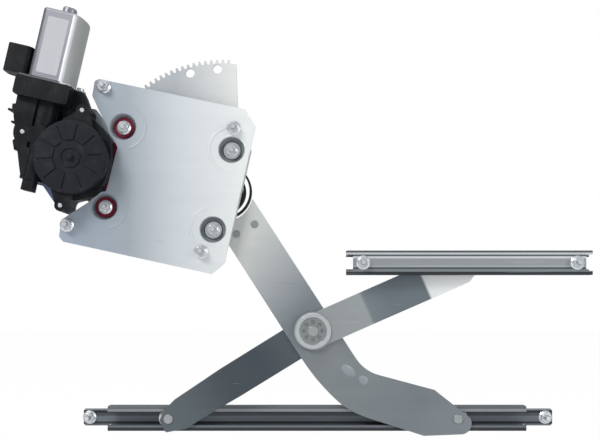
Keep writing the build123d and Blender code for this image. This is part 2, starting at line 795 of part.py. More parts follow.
# Motor: can, field magnets, armature, brushes and bearings, placed along the motor shaft
CAN_W = 40.0
CAN_D = 38.5
CAN_L = 67.5
CAN_WALL = 1.8
CAN_CORNER_R = 13.0
CAN_CROWN_R = 2.5
CAN_TOP = FLANGE_W + 1.6 + CAN_L
FLANGE_T = 1.6
MOTOR_SHAFT_R = 3.5
END_BOSS_R = 6.9
END_BOSS_H = 9.0
END_BEARING_R = 5.2
END_ROOM_TOP = 4.8
CORE_R_ARM = 11.2
CORE_LOW = FLANGE_W + 20.0
CORE_L = 36.0
MAGNET_GAP = 0.7
MAGNET_W = 22.0
COMM_R = 6.5
COMM_LOW = FLANGE_W + 4.0
COMM_L = 11.0

FLANGE_SCREWS = [(25.9, 5.0), (-24.0, 10.4)]
SCREW_HEAD_R = 3.6
SCREW_HEAD_H = 2.6

with BuildPart() as motor_flange:
    with BuildSketch(motor_plane(FLANGE_W)):
        with Locations(((MOUTH_LEFT + MOUTH_RIGHT) / 2 - MOTOR_OFFSET, -1.5)):
            RectangleRounded(MOUTH_RIGHT - MOUTH_LEFT - 1, 31, 4)
        with Locations(FLANGE_SCREWS[0]):
            RectangleRounded(11, 11, 4)
        Circle(12.5, mode=Mode.SUBTRACT)
    extrude(amount=FLANGE_T)
motor_flange.part.label = "motor_flange"
export_step(motor_flange.part, "parts/motor_flange.step")

with BuildPart() as motor_can:
    with BuildSketch(motor_plane(FLANGE_W + FLANGE_T)):
        RectangleRounded(CAN_W, CAN_D, CAN_CORNER_R)
    extrude(amount=CAN_L)
    crown = motor_can.faces().sort_by(Axis((0, 0, 0), motor_plane(0).z_dir))[-1]
    fillet(crown.edges(), radius=CAN_CROWN_R)
    with BuildSketch(motor_plane(CAN_TOP)):
        Circle(END_BOSS_R)
    extrude(amount=END_BOSS_H)
    boss_top = motor_can.faces().sort_by(Axis((0, 0, 0), motor_plane(0).z_dir))[-1]
    fillet(boss_top.edges(), radius=1.8)
    with BuildSketch(motor_plane(FLANGE_W + FLANGE_T)):
        RectangleRounded(CAN_W - 2 * CAN_WALL, CAN_D - 2 * CAN_WALL, CAN_CORNER_R - CAN_WALL)
    extrude(amount=CAN_L - CAN_WALL, mode=Mode.SUBTRACT)
    with BuildSketch(motor_plane(CAN_TOP - CAN_WALL - 0.1)):
        Circle(END_BEARING_R)
    extrude(amount=END_ROOM_TOP + CAN_WALL + 0.1, mode=Mode.SUBTRACT)
motor_can.part.label = "motor_can"
export_step(motor_can.part, "parts/motor_can.step")

with BuildPart() as field_magnets:
    with BuildSketch(motor_plane(CORE_LOW - 2)):
        RectangleRounded(
            CAN_W - 2 * CAN_WALL - 2 * FIT, CAN_D - 2 * CAN_WALL - 2 * FIT, CAN_CORNER_R - CAN_WALL - FIT
        )
        Rectangle(MAGNET_W, CAN_D, mode=Mode.INTERSECT)
        Circle(CORE_R_ARM + MAGNET_GAP, mode=Mode.SUBTRACT)
    extrude(amount=CORE_L + 4)
field_magnets.part.label = "field_magnets"
export_step(field_magnets.part, "parts/field_magnets.step")

with BuildPart() as rear_bearing:
    with BuildSketch(motor_plane(CAN_TOP)):
        Circle(END_BEARING_R - FIT)
        Circle(MOTOR_SHAFT_R + RUN, mode=Mode.SUBTRACT)
    extrude(amount=END_ROOM_TOP)
rear_bearing.part.label = "rear_bearing"
export_step(rear_bearing.part, "parts/rear_bearing.step")

WORM_L = 34.0
WORM_RINGS = 9
SHAFT_LOW = WORM_TUBE_LOW + 5.2
SHAFT_HIGH = CAN_TOP + END_ROOM_TOP - 0.3

with BuildPart() as armature_shaft:
    with BuildSketch(motor_plane(SHAFT_LOW)):
        Circle(MOTOR_SHAFT_R)
    extrude(amount=SHAFT_HIGH - SHAFT_LOW)
    pitch = WORM_L / WORM_RINGS
    for i in range(WORM_RINGS):
        with BuildSketch(motor_plane(-WORM_L / 2 + pitch * (i + 0.25))):
            Circle(WORM_R)
        extrude(amount=pitch / 2)
    with BuildSketch(motor_plane(-WORM_L / 2)):
        Circle(WORM_R - 1.5)
    extrude(amount=WORM_L)
armature_shaft.part.label = "armature_shaft"
export_step(armature_shaft.part, "parts/armature_shaft.step")

with BuildPart() as armature_core:
    with BuildSketch(motor_plane(CORE_LOW)):
        Circle(CORE_R_ARM)
        with PolarLocations(CORE_R_ARM - 2, 10):
            Rectangle(6, 2.2, mode=Mode.SUBTRACT)
        Circle(MOTOR_SHAFT_R + FIT, mode=Mode.SUBTRACT)
    extrude(amount=CORE_L)
armature_core.part.label = "armature_core"
export_step(armature_core.part, "parts/armature_core.step")

with BuildPart() as armature_windings:
    for low in (CORE_LOW - 4.0, CORE_LOW + CORE_L):
        with BuildSketch(motor_plane(low)) as coil:
            Circle(CORE_R_ARM - 1.2)
            Circle(MOTOR_SHAFT_R + 1.2, mode=Mode.SUBTRACT)
        extrude(coil.sketch, amount=4.0)
armature_windings.part.label = "armature_windings"
export_step(armature_windings.part, "parts/armature_windings.step")

with BuildPart() as commutator:
    with BuildSketch(motor_plane(COMM_LOW)):
        Circle(COMM_R)
        Circle(MOTOR_SHAFT_R + FIT, mode=Mode.SUBTRACT)
    extrude(amount=COMM_L)
commutator.part.label = "commutator"
export_step(commutator.part, "parts/commutator.step")

BRUSH_PLATE_LOW = FLANGE_W + FLANGE_T
BRUSH_PLATE_T = 2.0
BRUSH_W = 5.0
BRUSH_L = 6.0

with BuildPart() as brush_holder:
    with BuildSketch(motor_plane(BRUSH_PLATE_LOW)):
        RectangleRounded(CAN_W - 2 * CAN_WALL - 0.4, CAN_D - 2 * CAN_WALL - 0.4, CAN_CORNER_R - CAN_WALL)
        Circle(COMM_R + 0.8, mode=Mode.SUBTRACT)
    extrude(amount=BRUSH_PLATE_T)
brush_holder.part.label = "brush_holder"
export_step(brush_holder.part, "parts/brush_holder.step")

with BuildPart() as brushes:
    with BuildSketch(motor_plane(BRUSH_PLATE_LOW + BRUSH_PLATE_T)):
        with Locations((0, COMM_R + 0.3 + BRUSH_L / 2), (0, -COMM_R - 0.3 - BRUSH_L / 2)):
            Rectangle(BRUSH_W, BRUSH_L)
    extrude(amount=6.0)
brushes.part.label = "brushes"
export_step(brushes.part, "parts/brushes.step")

with BuildPart() as worm_end_bearing:
    with BuildSketch(motor_plane(WORM_TUBE_LOW + 4)):
        Circle(WORM_BORE_R - FIT)
    extrude(amount=6)
    with BuildSketch(motor_plane(WORM_TUBE_LOW + 5)):
        Circle(MOTOR_SHAFT_R + RUN)
    extrude(amount=6, mode=Mode.SUBTRACT)
worm_end_bearing.part.label = "worm_end_bearing"
export_step(worm_end_bearing.part, "parts/worm_end_bearing.step")

with BuildPart() as motor_screws:
    with BuildSketch(motor_plane(FLANGE_W + FLANGE_T)):
        with Locations(*FLANGE_SCREWS):
            Circle(SCREW_HEAD_R)
    extrude(amount=SCREW_HEAD_H)
    with BuildSketch(motor_plane(FLANGE_W + FLANGE_T + SCREW_HEAD_H)):
        with Locations(*FLANGE_SCREWS):
            RegularPolygon(radius=2.2, side_count=6)
    extrude(amount=-1.6, mode=Mode.SUBTRACT)
motor_screws.part.label = "motor_screws"
export_step(motor_screws.part, "parts/motor_screws.step")

# Connector socket on the flange, open upwards, with its blades
SOCKET_U = -34.2
SOCKET_Y = -4.0
SOCKET_W = 25.0
SOCKET_D = 20.0
SOCKET_H = 27.6
SOCKET_WALL = 2.0
SOCKET_LOW = FLANGE_W + FLANGE_T
BLADE_T = 0.8

with BuildPart() as connector_shell:
    with BuildSketch(motor_plane(SOCKET_LOW)):
        with Locations((SOCKET_U, SOCKET_Y)):
            RectangleRounded(SOCKET_W, SOCKET_D, 5)
    extrude(amount=SOCKET_H)
    with BuildSketch(motor_plane(SOCKET_LOW + 6)):
        with Locations((SOCKET_U, SOCKET_Y)):
            RectangleRounded(SOCKET_W - 2 * SOCKET_WALL, SOCKET_D - 2 * SOCKET_WALL, 3)
    extrude(amount=SOCKET_H, mode=Mode.SUBTRACT)
connector_shell.part.label = "connector_shell"
export_step(connector_shell.part, "parts/connector_shell.step")

with BuildPart() as connector_blades:
    with BuildSketch(motor_plane(SOCKET_LOW + 6)):
        with Locations(*[(SOCKET_U + dx, SOCKET_Y + 4.5) for dx in (-7.5, -2.5, 2.5, 7.5)]):
            Rectangle(2.4, BLADE_T)
    extrude(amount=10)
connector_blades.part.label = "connector_blades"
export_step(connector_blades.part, "parts/connector_blades.step")

# Sector gear, in X and Z about the lift pivot
PIVOT_HUB_R = 10.0
TAIL_REACH = 58.0
TAIL_HALF = 17.0
POST_R = 1.8
POST_REACH = 25.5
POST_TURN = 47.0
WEIGHT_HOLE_R = 4.6
WEIGHT_HOLES = [(125.3, 105.4), (125.0, 92.5)]
SECTOR_ROOT_R = SECTOR_PITCH_R - DEDENDUM
SECTOR_TIP_R = SECTOR_PITCH_R + ADDENDUM
TOOTH_STEP = 360 / SECTOR_TEETH
MESH_TURN = PLATE_TURN + PINION_TURN
RIVET_SPOTS = [(44.0, -12.0), (46.0, 9.0), (24.0, -16.0)]
RIVET_R = 4.0
RIVET_HEAD_R = 6.0
RIVET_HEAD_T = 0.9


def polar(reach, turn):
    return (reach * cos(radians(turn)), reach * sin(radians(turn)))


def spring_notch():
    """The clear space for the spring, right of the sector's straight edge."""
    with BuildSketch(facing(SECTOR_BACK + 1, LIFT_PIVOT)) as notch:
        Circle(SPRING_NOTCH_R)
        with Locations((SECTOR_EDGE + SPRING_NOTCH_R, 0)):
            Rectangle(2 * SPRING_NOTCH_R, 2 * SPRING_NOTCH_R, mode=Mode.INTERSECT)
    return notch.sketch


first_tooth = MESH_TURN - (int((MESH_TURN - SECTOR_START) / TOOTH_STEP) + 0.5) * TOOTH_STEP
tooth_turns = []
while first_tooth < SECTOR_END:
    if first_tooth > SECTOR_START + TOOTH_STEP / 4:
        tooth_turns.append(first_tooth)
    first_tooth += TOOTH_STEP

with BuildPart() as sector_gear:
    with BuildSketch(facing(SECTOR_BACK, LIFT_PIVOT)):
        edge_top = (SECTOR_EDGE, sqrt(SECTOR_ROOT_R**2 - SECTOR_EDGE**2))
        arc_middle = polar(SECTOR_ROOT_R, (SECTOR_START + SECTOR_END) / 2)
        arc_end = polar(SECTOR_ROOT_R, SECTOR_END)
        with BuildLine():
            ThreePointArc(edge_top, arc_middle, arc_end)
            Polyline(
                arc_end,
                (arc_end[0] + 3, arc_end[1] - 7),
                (-34, -30),
                (-8, -44),
                (SECTOR_EDGE, -36),
                (SECTOR_EDGE, 33),
                (SECTOR_EDGE + SECTOR_FLARE, 33),
                edge_top,
            )
        make_face()
        for turn in tooth_turns:
            with BuildLine(Rot(0, 0, turn)):
                Polyline(*tooth_outline(SECTOR_TEETH, SECTOR_ROOT_R, SECTOR_TIP_R), close=True)
            make_face()
        with Locations(*[polar(r, a) for r, a in WEIGHT_HOLES]):
            Circle(WEIGHT_HOLE_R, mode=Mode.SUBTRACT)
    extrude(amount=ARM_T)
    with BuildSketch(facing(SECTOR_BACK, LIFT_PIVOT, LIFT_TURN)):
        with Locations((TAIL_REACH / 2, -1)):
            RectangleRounded(TAIL_REACH, 2 * TAIL_HALF, 6)
    extrude(amount=ARM_T)
    extrude(spring_notch(), amount=2 * ARM_T, mode=Mode.SUBTRACT)
    # Lug that carries the spring's anchor post
    with BuildSketch(facing(SECTOR_BACK, LIFT_PIVOT)):
        with Locations((polar(POST_REACH, POST_TURN)[0] - 3, polar(POST_REACH, POST_TURN)[1])):
            RectangleRounded(13, 8, 3)
        with Locations(polar(POST_REACH, POST_TURN)):
            Circle(POST_R + FIT, mode=Mode.SUBTRACT)
    extrude(amount=ARM_T)
    with BuildSketch(facing(SECTOR_BACK, LIFT_PIVOT)):
        with Locations(polar(POST_REACH, POST_TURN)):
            Circle(POST_R + FIT)
        Circle(PIVOT_HUB_R + FIT)
    extrude(amount=ARM_T, mode=Mode.SUBTRACT)
    with BuildSketch(facing(SECTOR_BACK, LIFT_PIVOT, LIFT_TURN)):
        with Locations(*RIVET_SPOTS):
            Circle(RIVET_R + FIT)
    extrude(amount=ARM_T, mode=Mode.SUBTRACT)
sector_gear.part.label = "sector_gear"
export_step(sector_gear.part, "parts/sector_gear.step")

# Lift arm, in axes along the line from the pivot to the hub. It steps back past the hub.
HUB_R = 10.0
ROLLER_PIN_R = 4.0
LIFT_BEND_START = 27.0
LIFT_BEND_END = 74.0
ARM_LOW = -24.2
ARM_HIGH = 21.4
LIFT_BACK_R = 18.0
LIFT_TIP = turned(RAIL_REACH, 0, -RAIL_TURN - LIFT_TURN, (LIFT_REACH, 0))


def past_hub(t, n):
    """A point of the lift arm's edge, counted from the hub along the arm."""
    return (LIFT_REACH + t, n)


def by_tip(t, n):
    """A point of the lift arm's edge, counted from its roller pin."""
    return (LIFT_TIP[0] + t, LIFT_TIP[1] + n)


with BuildPart() as lift_arm:
    with BuildSketch(facing(60, LIFT_PIVOT, LIFT_TURN)):
        with BuildLine():
            Line((0, ARM_LOW), past_hub(14, ARM_LOW - 0.9))
            Spline(
                past_hub(14, ARM_LOW - 0.9),
                past_hub(63.4, -20.8),
                past_hub(89.0, -13.5),
                past_hub(110.8, 1.0),
                past_hub(119.0, 7.8),
                tangents=((1, 0), (8, 7.2)),
            )
            Polyline(past_hub(119.0, 7.8), by_tip(-4.6, -39.2), by_tip(15.6, -5.2))
            ThreePointArc(by_tip(15.6, -5.2), by_tip(14.8, 6.4), by_tip(5.8, 11.3))
            Polyline(by_tip(5.8, 11.3), by_tip(-38.4, -3.8), past_hub(78.0, 33.6))
            Spline(
                past_hub(78.0, 33.6),
                past_hub(70.3, 27.6),
                past_hub(57.6, 22.6),
                past_hub(42.8, ARM_HIGH),
                tangents=((-8, -6.8), (-1, 0)),
            )
            Polyline(
                past_hub(42.8, ARM_HIGH),
                (8, ARM_HIGH),
                (2 - LIFT_BACK_R, 12),
                (-LIFT_BACK_R, -14),
                (0, ARM_LOW),
            )
        make_face()
    extrude(amount=60)
    with BuildSketch(side(HUB, -RAIL_TURN)):
        with BuildLine():
            Polyline(*bent_sheet(LIFT_BEND_START, LIFT_BEND_END, LIFT_Y, REAR_END_Y), close=True)
        make_face()
    extrude(amount=300, both=True, mode=Mode.INTERSECT)
    extrude(spring_notch(), amount=4 * ARM_T, mode=Mode.SUBTRACT)
    with BuildSketch(facing(60, HUB)):
        Circle(HUB_R)
        with Locations((LIFT_END[0] - HUB[0], LIFT_END[1] - HUB[1])):
            Circle(ROLLER_PIN_R + FIT)
        with Locations((LIFT_PIVOT[0] - HUB[0], LIFT_PIVOT[1] - HUB[1])):
            Circle(PIVOT_HUB_R + FIT)
    extrude(amount=60, mode=Mode.SUBTRACT)
    with BuildSketch(facing(LIFT_BACK, LIFT_PIVOT, LIFT_TURN)):
        with Locations(*RIVET_SPOTS):
            Circle(RIVET_R + FIT)
    extrude(amount=ARM_T, mode=Mode.SUBTRACT)
lift_arm.part.label = "lift_arm"
export_step(lift_arm.part, "parts/lift_arm.step")

with BuildPart() as sector_rivets:
    for t, n in RIVET_SPOTS:
        revolved(
            turned(t, n, LIFT_TURN, LIFT_PIVOT),
            [
                (0, LIFT_Y),
                (RIVET_R, LIFT_Y),
                (RIVET_R, SECTOR_BACK),
                (RIVET_HEAD_R, SECTOR_BACK),
                (RIVET_HEAD_R - 0.8, SECTOR_BACK + RIVET_HEAD_T),
                (0, SECTOR_BACK + RIVET_HEAD_T),
            ],
        )
sector_rivets.part.label = "sector_rivets"
export_step(sector_rivets.part, "parts/sector_rivets.step")

HUB_FLANGE_T = 0.7
HUB_FLANGE_R = 13.0

with BuildPart() as pivot_hub:
    revolved(
        LIFT_PIVOT,
        [
            (PIN_R + RUN, LIFT_Y - HUB_FLANGE_T),
            (HUB_FLANGE_R, LIFT_Y - HUB_FLANGE_T),
            (HUB_FLANGE_R, LIFT_Y),
            (PIVOT_HUB_R, LIFT_Y),
            (PIVOT_HUB_R, SECTOR_BACK),
            (HUB_FLANGE_R, SECTOR_BACK),
            (HUB_FLANGE_R, SECTOR_BACK + HUB_FLANGE_T),
            (PIN_R + RUN, SECTOR_BACK + HUB_FLANGE_T),
        ],
    )
pivot_hub.part.label = "pivot_hub"
export_step(pivot_hub.part, "parts/pivot_hub.step")

with BuildPart() as spring_post:
    post = turned(*polar(POST_REACH, POST_TURN), 0, LIFT_PIVOT)
    revolved(
        post,
        [
            (0, SECTOR_Y),
            (POST_R, SECTOR_Y),
            (POST_R, SPRING_BACK),
            (0, SPRING_BACK),
        ],
    )
spring_post.part.label = "spring_post"
export_step(spring_post.part, "parts/spring_post.step")

# Counterbalance spring: flat strip coiled round the pin, its outer end hooked on the post
STRIP_T = 2.2
SPRING_IN_R = 7.6
SPRING_TURNS = 6.2
HOOK_GAP = 0.1
SPRING_INNER_PITCH = 2.85
SPRING_OUT_R = POST_REACH + POST_R + HOOK_GAP + STRIP_T / 2


def coil_r(n):
    """Middle radius of the strip after n turns: even turns, then the wide outer one."""
    inner = SPRING_IN_R + SPRING_INNER_PITCH * n
    last = max(0.0, n - (SPRING_TURNS - 1))
    spread = SPRING_OUT_R - SPRING_IN_R - SPRING_INNER_PITCH * SPRING_TURNS
    return inner + spread * last * last * (3 - 2 * last)


def coil_points(shift, steps=24):
    points = []
    count = int(SPRING_TURNS * steps)
    for i in range(count + 1):
        n = SPRING_TURNS * i / count
        points.append(polar(coil_r(n) + shift, POST_TURN - 360 * (SPRING_TURNS - n)))
    return points


with BuildPart() as counterbalance_spring:
    with BuildSketch(facing(SPRING_BACK, LIFT_PIVOT)):
        with Locations(polar(POST_REACH, POST_TURN)):
            Circle(POST_R + HOOK_GAP + STRIP_T)
            Circle(POST_R + HOOK_GAP, mode=Mode.SUBTRACT)
        Circle(POST_REACH, mode=Mode.SUBTRACT)
        outer = coil_points(STRIP_T / 2)
        inner = coil_points(-STRIP_T / 2)
        with BuildLine():
            Spline(*outer)
            Spline(*inner)
            Line(outer[0], inner[0])
            Line(outer[-1], inner[-1])
        make_face()
    extrude(amount=SPRING_W)
counterbalance_spring.part.label = "counterbalance_spring"
export_step(counterbalance_spring.part, "parts/counterbalance_spring.step")

# Equalizer: the front half reaches the guide channel, the rear half the glass channel
HALF_W = 17.1
END_R = 19.5
UPPER_BEND_START = 60.5
UPPER_BEND_END = 123.0
LOWER_BEND_START = 99.0
LOWER_BEND_END = 127.0

with BuildPart() as equalizer_upper_half:
    with BuildSketch(facing(60, HUB, GUIDE_TURN)):
        with BuildLine():
            Polyline(
                (0, HALF_W - 0.5),
                (LIFT_REACH - 5, HALF_W - 0.5),
                (LIFT_REACH + 12, 9),
                (LIFT_REACH + 12, -9),
                (LIFT_REACH - 5, -HALF_W - 1.2),
                (0, -HALF_W - 1.2),
                close=True,
            )
        make_face()
        Circle(END_R)
        Circle(HUB_R - RUN + FIT, mode=Mode.SUBTRACT)
        with Locations((LIFT_REACH, 0)):
            Circle(ROLLER_PIN_R + FIT, mode=Mode.SUBTRACT)
    extrude(amount=80)
    with BuildSketch(side(HUB, GUIDE_TURN)):
        with BuildLine():
            Polyline(*bent_sheet(UPPER_BEND_START, UPPER_BEND_END, UPPER_Y, UPPER_END_Y), close=True)
        make_face()
    extrude(amount=100, both=True, mode=Mode.INTERSECT)
equalizer_upper_half.part.label = "equalizer_upper_half"
export_step(equalizer_upper_half.part, "parts/equalizer_upper_half.step")

with BuildPart() as equalizer_lower_half:
    with BuildSketch(facing(60, HUB, 180 + RAIL_TURN)):
        with BuildLine():
            Polyline(
                (0, -HALF_W),
                (100, -16.5),
                (160, -14),
                (175, -10.5),
                (185, -3.5),
                (186, 10.5),
                (166, 18.2),
                (0, HALF_W + 0.9),
                close=True,
            )
        make_face()
        Circle(END_R)
        Circle(HUB_R - RUN + FIT, mode=Mode.SUBTRACT)
        with Locations((RAIL_REACH, 0)):
            Circle(ROLLER_PIN_R + FIT, mode=Mode.SUBTRACT)
    extrude(amount=60)
    with BuildSketch(side(HUB, 180 + RAIL_TURN)):
        with BuildLine():
            Polyline(*bent_sheet(LOWER_BEND_START, LOWER_BEND_END, LOWER_Y, REAR_END_Y), close=True)
        make_face()
    extrude(amount=100, both=True, mode=Mode.INTERSECT)
equalizer_lower_half.part.label = "equalizer_lower_half"
export_step(equalizer_lower_half.part, "parts/equalizer_lower_half.step")

HUB_RING_R = 18.4
HUB_RECESS_R = 13.4
HUB_RING_T = 2.4
HUB_FLOOR_T = 1.0
HUB_POST_R = 5.4
HUB_POST_T = 2.8
HUB_DIMPLES = 8
HUB_DIMPLE_REACH = 9.2
HUB_DIMPLE_R = 1.9
HUB_REAR_R = 13.0
HUB_REAR_T = 1.6

with BuildPart() as hub_rivet:
    revolved(
        HUB,
        [
            (0, UPPER_Y - HUB_POST_T),
            (HUB_POST_R - 0.6, UPPER_Y - HUB_POST_T),
            (HUB_POST_R, UPPER_Y - HUB_POST_T + 0.6),
            (HUB_POST_R, UPPER_Y - HUB_FLOOR_T),
            (HUB_RECESS_R, UPPER_Y - HUB_FLOOR_T),
            (HUB_RECESS_R + 0.7, UPPER_Y - HUB_RING_T),
            (HUB_RING_R - 0.8, UPPER_Y - HUB_RING_T),
            (HUB_RING_R, UPPER_Y - HUB_RING_T + 0.8),
            (HUB_RING_R, UPPER_Y),
            (HUB_R - RUN, UPPER_Y),
            (HUB_R - RUN, LOWER_BACK),
            (HUB_REAR_R, LOWER_BACK),
            (HUB_REAR_R - 0.8, LOWER_BACK + HUB_REAR_T),
            (0, LOWER_BACK + HUB_REAR_T),
        ],
    )
    with BuildSketch(facing(UPPER_Y - HUB_FLOOR_T, HUB)):
        with PolarLocations(HUB_DIMPLE_REACH, HUB_DIMPLES):
            Circle(HUB_DIMPLE_R)
    extrude(amount=-1.2, mode=Mode.SUBTRACT)
hub_rivet.part.label = "hub_rivet"
export_step(hub_rivet.part, "parts/hub_rivet.step")

# Glass channel: a lipped channel open to the front, flat tabs at both ends
CHANNEL_T = 1.5
GLASS_H = 26.0
GLASS_D = 13.0
GLASS_Y = REAR_END_BACK + 0.8
GLASS_BACK = GLASS_Y + GLASS_D
GLASS_LEFT = -53.8
GLASS_RIGHT = 383.2
LIP = 5.0
TAB_LEFT = GLASS_LEFT - 28.4
TAB_RIGHT = GLASS_RIGHT + 30.5
TAB_H = 18.0
TAB_CORNER = 2.0
GLASS_STUD_LEFT = TAB_LEFT + 6.6
GLASS_STUD_RIGHT = TAB_RIGHT - 7.6
RAIL_Z = LIFT_END[1]

with BuildPart() as glass_channel:
    with BuildSketch(Plane(origin=(GLASS_LEFT, GLASS_Y, RAIL_Z), x_dir=(0, 1, 0), z_dir=(1, 0, 0))):
        with Locations((GLASS_D / 2, 0)):
            Rectangle(GLASS_D, GLASS_H)
            fillet(vertices(), radius=1.4)
        with Locations((GLASS_D / 2, 0)):
            Rectangle(GLASS_D - 2 * CHANNEL_T, GLASS_H - 2 * CHANNEL_T, mode=Mode.SUBTRACT)
        with Locations((0, 0)):
            Rectangle(2 * CHANNEL_T + 0.4, GLASS_H - 2 * (CHANNEL_T + LIP), mode=Mode.SUBTRACT)
    extrude(amount=GLASS_RIGHT - GLASS_LEFT)
    for inner_end, outer_end in ((GLASS_LEFT, TAB_LEFT), (GLASS_RIGHT, TAB_RIGHT)):
        with BuildSketch(facing(GLASS_BACK, ((inner_end + outer_end) / 2, RAIL_Z))):
            Rectangle(abs(outer_end - inner_end), TAB_H)
            chamfer(vertices(), length=TAB_CORNER)
        extrude(amount=CHANNEL_T)
    with BuildSketch(facing(GLASS_BACK, (0, RAIL_Z))):
        with Locations((GLASS_STUD_LEFT, 0), (GLASS_STUD_RIGHT, 0)):
            Circle(NECK_R + FIT)
    extrude(amount=CHANNEL_T, mode=Mode.SUBTRACT)
glass_channel.part.label = "glass_channel"
export_step(glass_channel.part, "parts/glass_channel.step")

GLASS_SEAT = GLASS_BACK - CHANNEL_T
GLASS_STUD_L = 12.0
GLASS_STUDS = [(GLASS_STUD_LEFT, RAIL_Z), (GLASS_STUD_RIGHT, RAIL_Z)]

with BuildPart() as glass_channel_studs:
    for spot in GLASS_STUDS:
        mounting_stud(spot, GLASS_SEAT, GLASS_STUD_L, CHANNEL_T)
glass_channel_studs.part.label = "glass_channel_studs"
export_step(glass_channel_studs.part, "parts/glass_channel_studs.step")

with BuildPart() as glass_channel_nuts:
    for spot in GLASS_STUDS:
        flange_nut(spot, GLASS_SEAT)
glass_channel_nuts.part.label = "glass_channel_nuts"
export_step(glass_channel_nuts.part, "parts/glass_channel_nuts.step")

# Guide channel: a lipped channel open to the rear, its web cut back at both ends
GUIDE_H = 24.2
GUIDE_D = 12.0
GUIDE_LIP_BACK = UPPER_END_Y - 0.8
GUIDE_Y = GUIDE_LIP_BACK - GUIDE_D
GUIDE_LEFT = 193.7
GUIDE_RIGHT = 437.5
WEB_SETBACK = 6.5
GUIDE_LIP = 4.5
GUIDE_Z = GUIDE_END[1]
GUIDE_BOLT_X = GUIDE_LEFT + 16.5
GUIDE_STUD_X = GUIDE_RIGHT - 15.5

with BuildPart() as guide_channel:
    with BuildSketch(Plane(origin=(GUIDE_LEFT, GUIDE_Y, GUIDE_Z), x_dir=(0, 1, 0), z_dir=(1, 0, 0))):
        with Locations((GUIDE_D / 2, 0)):
            Rectangle(GUIDE_D, GUIDE_H)
            fillet(vertices(), radius=1.4)
        with Locations((GUIDE_D / 2, 0)):
            Rectangle(GUIDE_D - 2 * CHANNEL_T, GUIDE_H - 2 * CHANNEL_T, mode=Mode.SUBTRACT)
        with Locations((GUIDE_D, 0)):
            Rectangle(2 * CHANNEL_T + 0.4, GUIDE_H - 2 * (CHANNEL_T + GUIDE_LIP), mode=Mode.SUBTRACT)
    extrude(amount=GUIDE_RIGHT - GUIDE_LEFT)
    with BuildSketch(facing(GUIDE_Y + CHANNEL_T + 0.01, (0, GUIDE_Z))):
        with Locations((GUIDE_LEFT, 0), (GUIDE_RIGHT, 0)):
            Rectangle(2 * WEB_SETBACK, GUIDE_H - 4 * CHANNEL_T - 2)
    extrude(amount=CHANNEL_T + 1, mode=Mode.SUBTRACT)
    with BuildSketch(facing(GUIDE_Y + CHANNEL_T, (0, GUIDE_Z))):
        with Locations((GUIDE_BOLT_X, 0), (GUIDE_STUD_X, 0)):
            Circle(NECK_R + FIT)
    extrude(amount=CHANNEL_T, mode=Mode.SUBTRACT)
guide_channel.part.label = "guide_channel"
export_step(guide_channel.part, "parts/guide_channel.step")

GUIDE_STUD_L = 9.5
GUIDE_STUDS = [(GUIDE_BOLT_X, GUIDE_Z), (GUIDE_STUD_X, GUIDE_Z)]

with BuildPart() as guide_channel_studs:
    for spot in GUIDE_STUDS:
        mounting_stud(spot, GUIDE_Y, GUIDE_STUD_L, CHANNEL_T)
guide_channel_studs.part.label = "guide_channel_studs"
export_step(guide_channel_studs.part, "parts/guide_channel_studs.step")

with BuildPart() as guide_channel_nuts:
    for spot in GUIDE_STUDS:
        flange_nut(spot, GUIDE_Y)
guide_channel_nuts.part.label = "guide_channel_nuts"
export_step(guide_channel_nuts.part, "parts/guide_channel_nuts.step")

# Rollers and the pins that carry them
ROLLER_W = 6.8
ROLLER_EDGE = 1.0
PIN_CAP_R = 6.0
PIN_CAP_T = 0.9
ROLLER_PIN_HEAD_R = 5.4
ROLLER_PIN_HEAD_T = 1.6
GLASS_ROLLER_R = GLASS_H / 2 - CHANNEL_T - ROLL_GAP
GUIDE_ROLLER_R = GUIDE_H / 2 - CHANNEL_T - ROLL_GAP
GLASS_ROLLER_Y = GLASS_Y + GLASS_D / 2 - ROLLER_W / 2 - 0.4
GUIDE_ROLLER_Y = GUIDE_Y + GUIDE_D / 2 - ROLLER_W / 2 + 0.2


def roller(spot, front, radius):
    """A moulded roller with rounded edges and a running bore."""
    back = front + ROLLER_W
    revolved(
        spot,
        [
            (ROLLER_PIN_R + RUN, front),
            (radius - ROLLER_EDGE, front),
            (radius, front + ROLLER_EDGE),
            (radius, back - ROLLER_EDGE),
            (radius - ROLLER_EDGE, back),
            (ROLLER_PIN_R + RUN, back),
        ],
    )


def rear_roller_pin(spot):
    """A riveted pin with its head in front of an arm's end and its cap behind the roller."""
    cap = GLASS_ROLLER_Y + ROLLER_W + 0.3
    revolved(
        spot,
        [
            (0, REAR_END_Y - ROLLER_PIN_HEAD_T),
            (ROLLER_PIN_HEAD_R - 1.0, REAR_END_Y - ROLLER_PIN_HEAD_T),
            (ROLLER_PIN_HEAD_R, REAR_END_Y),
            (ROLLER_PIN_R, REAR_END_Y),
            (ROLLER_PIN_R, cap),
            (PIN_CAP_R, cap),
            (PIN_CAP_R, cap + PIN_CAP_T),
            (0, cap + PIN_CAP_T),
        ],
    )


with BuildPart() as lift_roller:
    roller(LIFT_END, GLASS_ROLLER_Y, GLASS_ROLLER_R)
lift_roller.part.label = "lift_roller"
export_step(lift_roller.part, "parts/lift_roller.step")

with BuildPart() as equalizer_roller:
    roller(LOWER_END, GLASS_ROLLER_Y, GLASS_ROLLER_R)
equalizer_roller.part.label = "equalizer_roller"
export_step(equalizer_roller.part, "parts/equalizer_roller.step")

with BuildPart() as guide_roller:
    roller(GUIDE_END, GUIDE_ROLLER_Y, GUIDE_ROLLER_R)
guide_roller.part.label = "guide_roller"
export_step(guide_roller.part, "parts/guide_roller.step")

with BuildPart() as lift_roller_pin:
    rear_roller_pin(LIFT_END)
lift_roller_pin.part.label = "lift_roller_pin"
export_step(lift_roller_pin.part, "parts/lift_roller_pin.step")

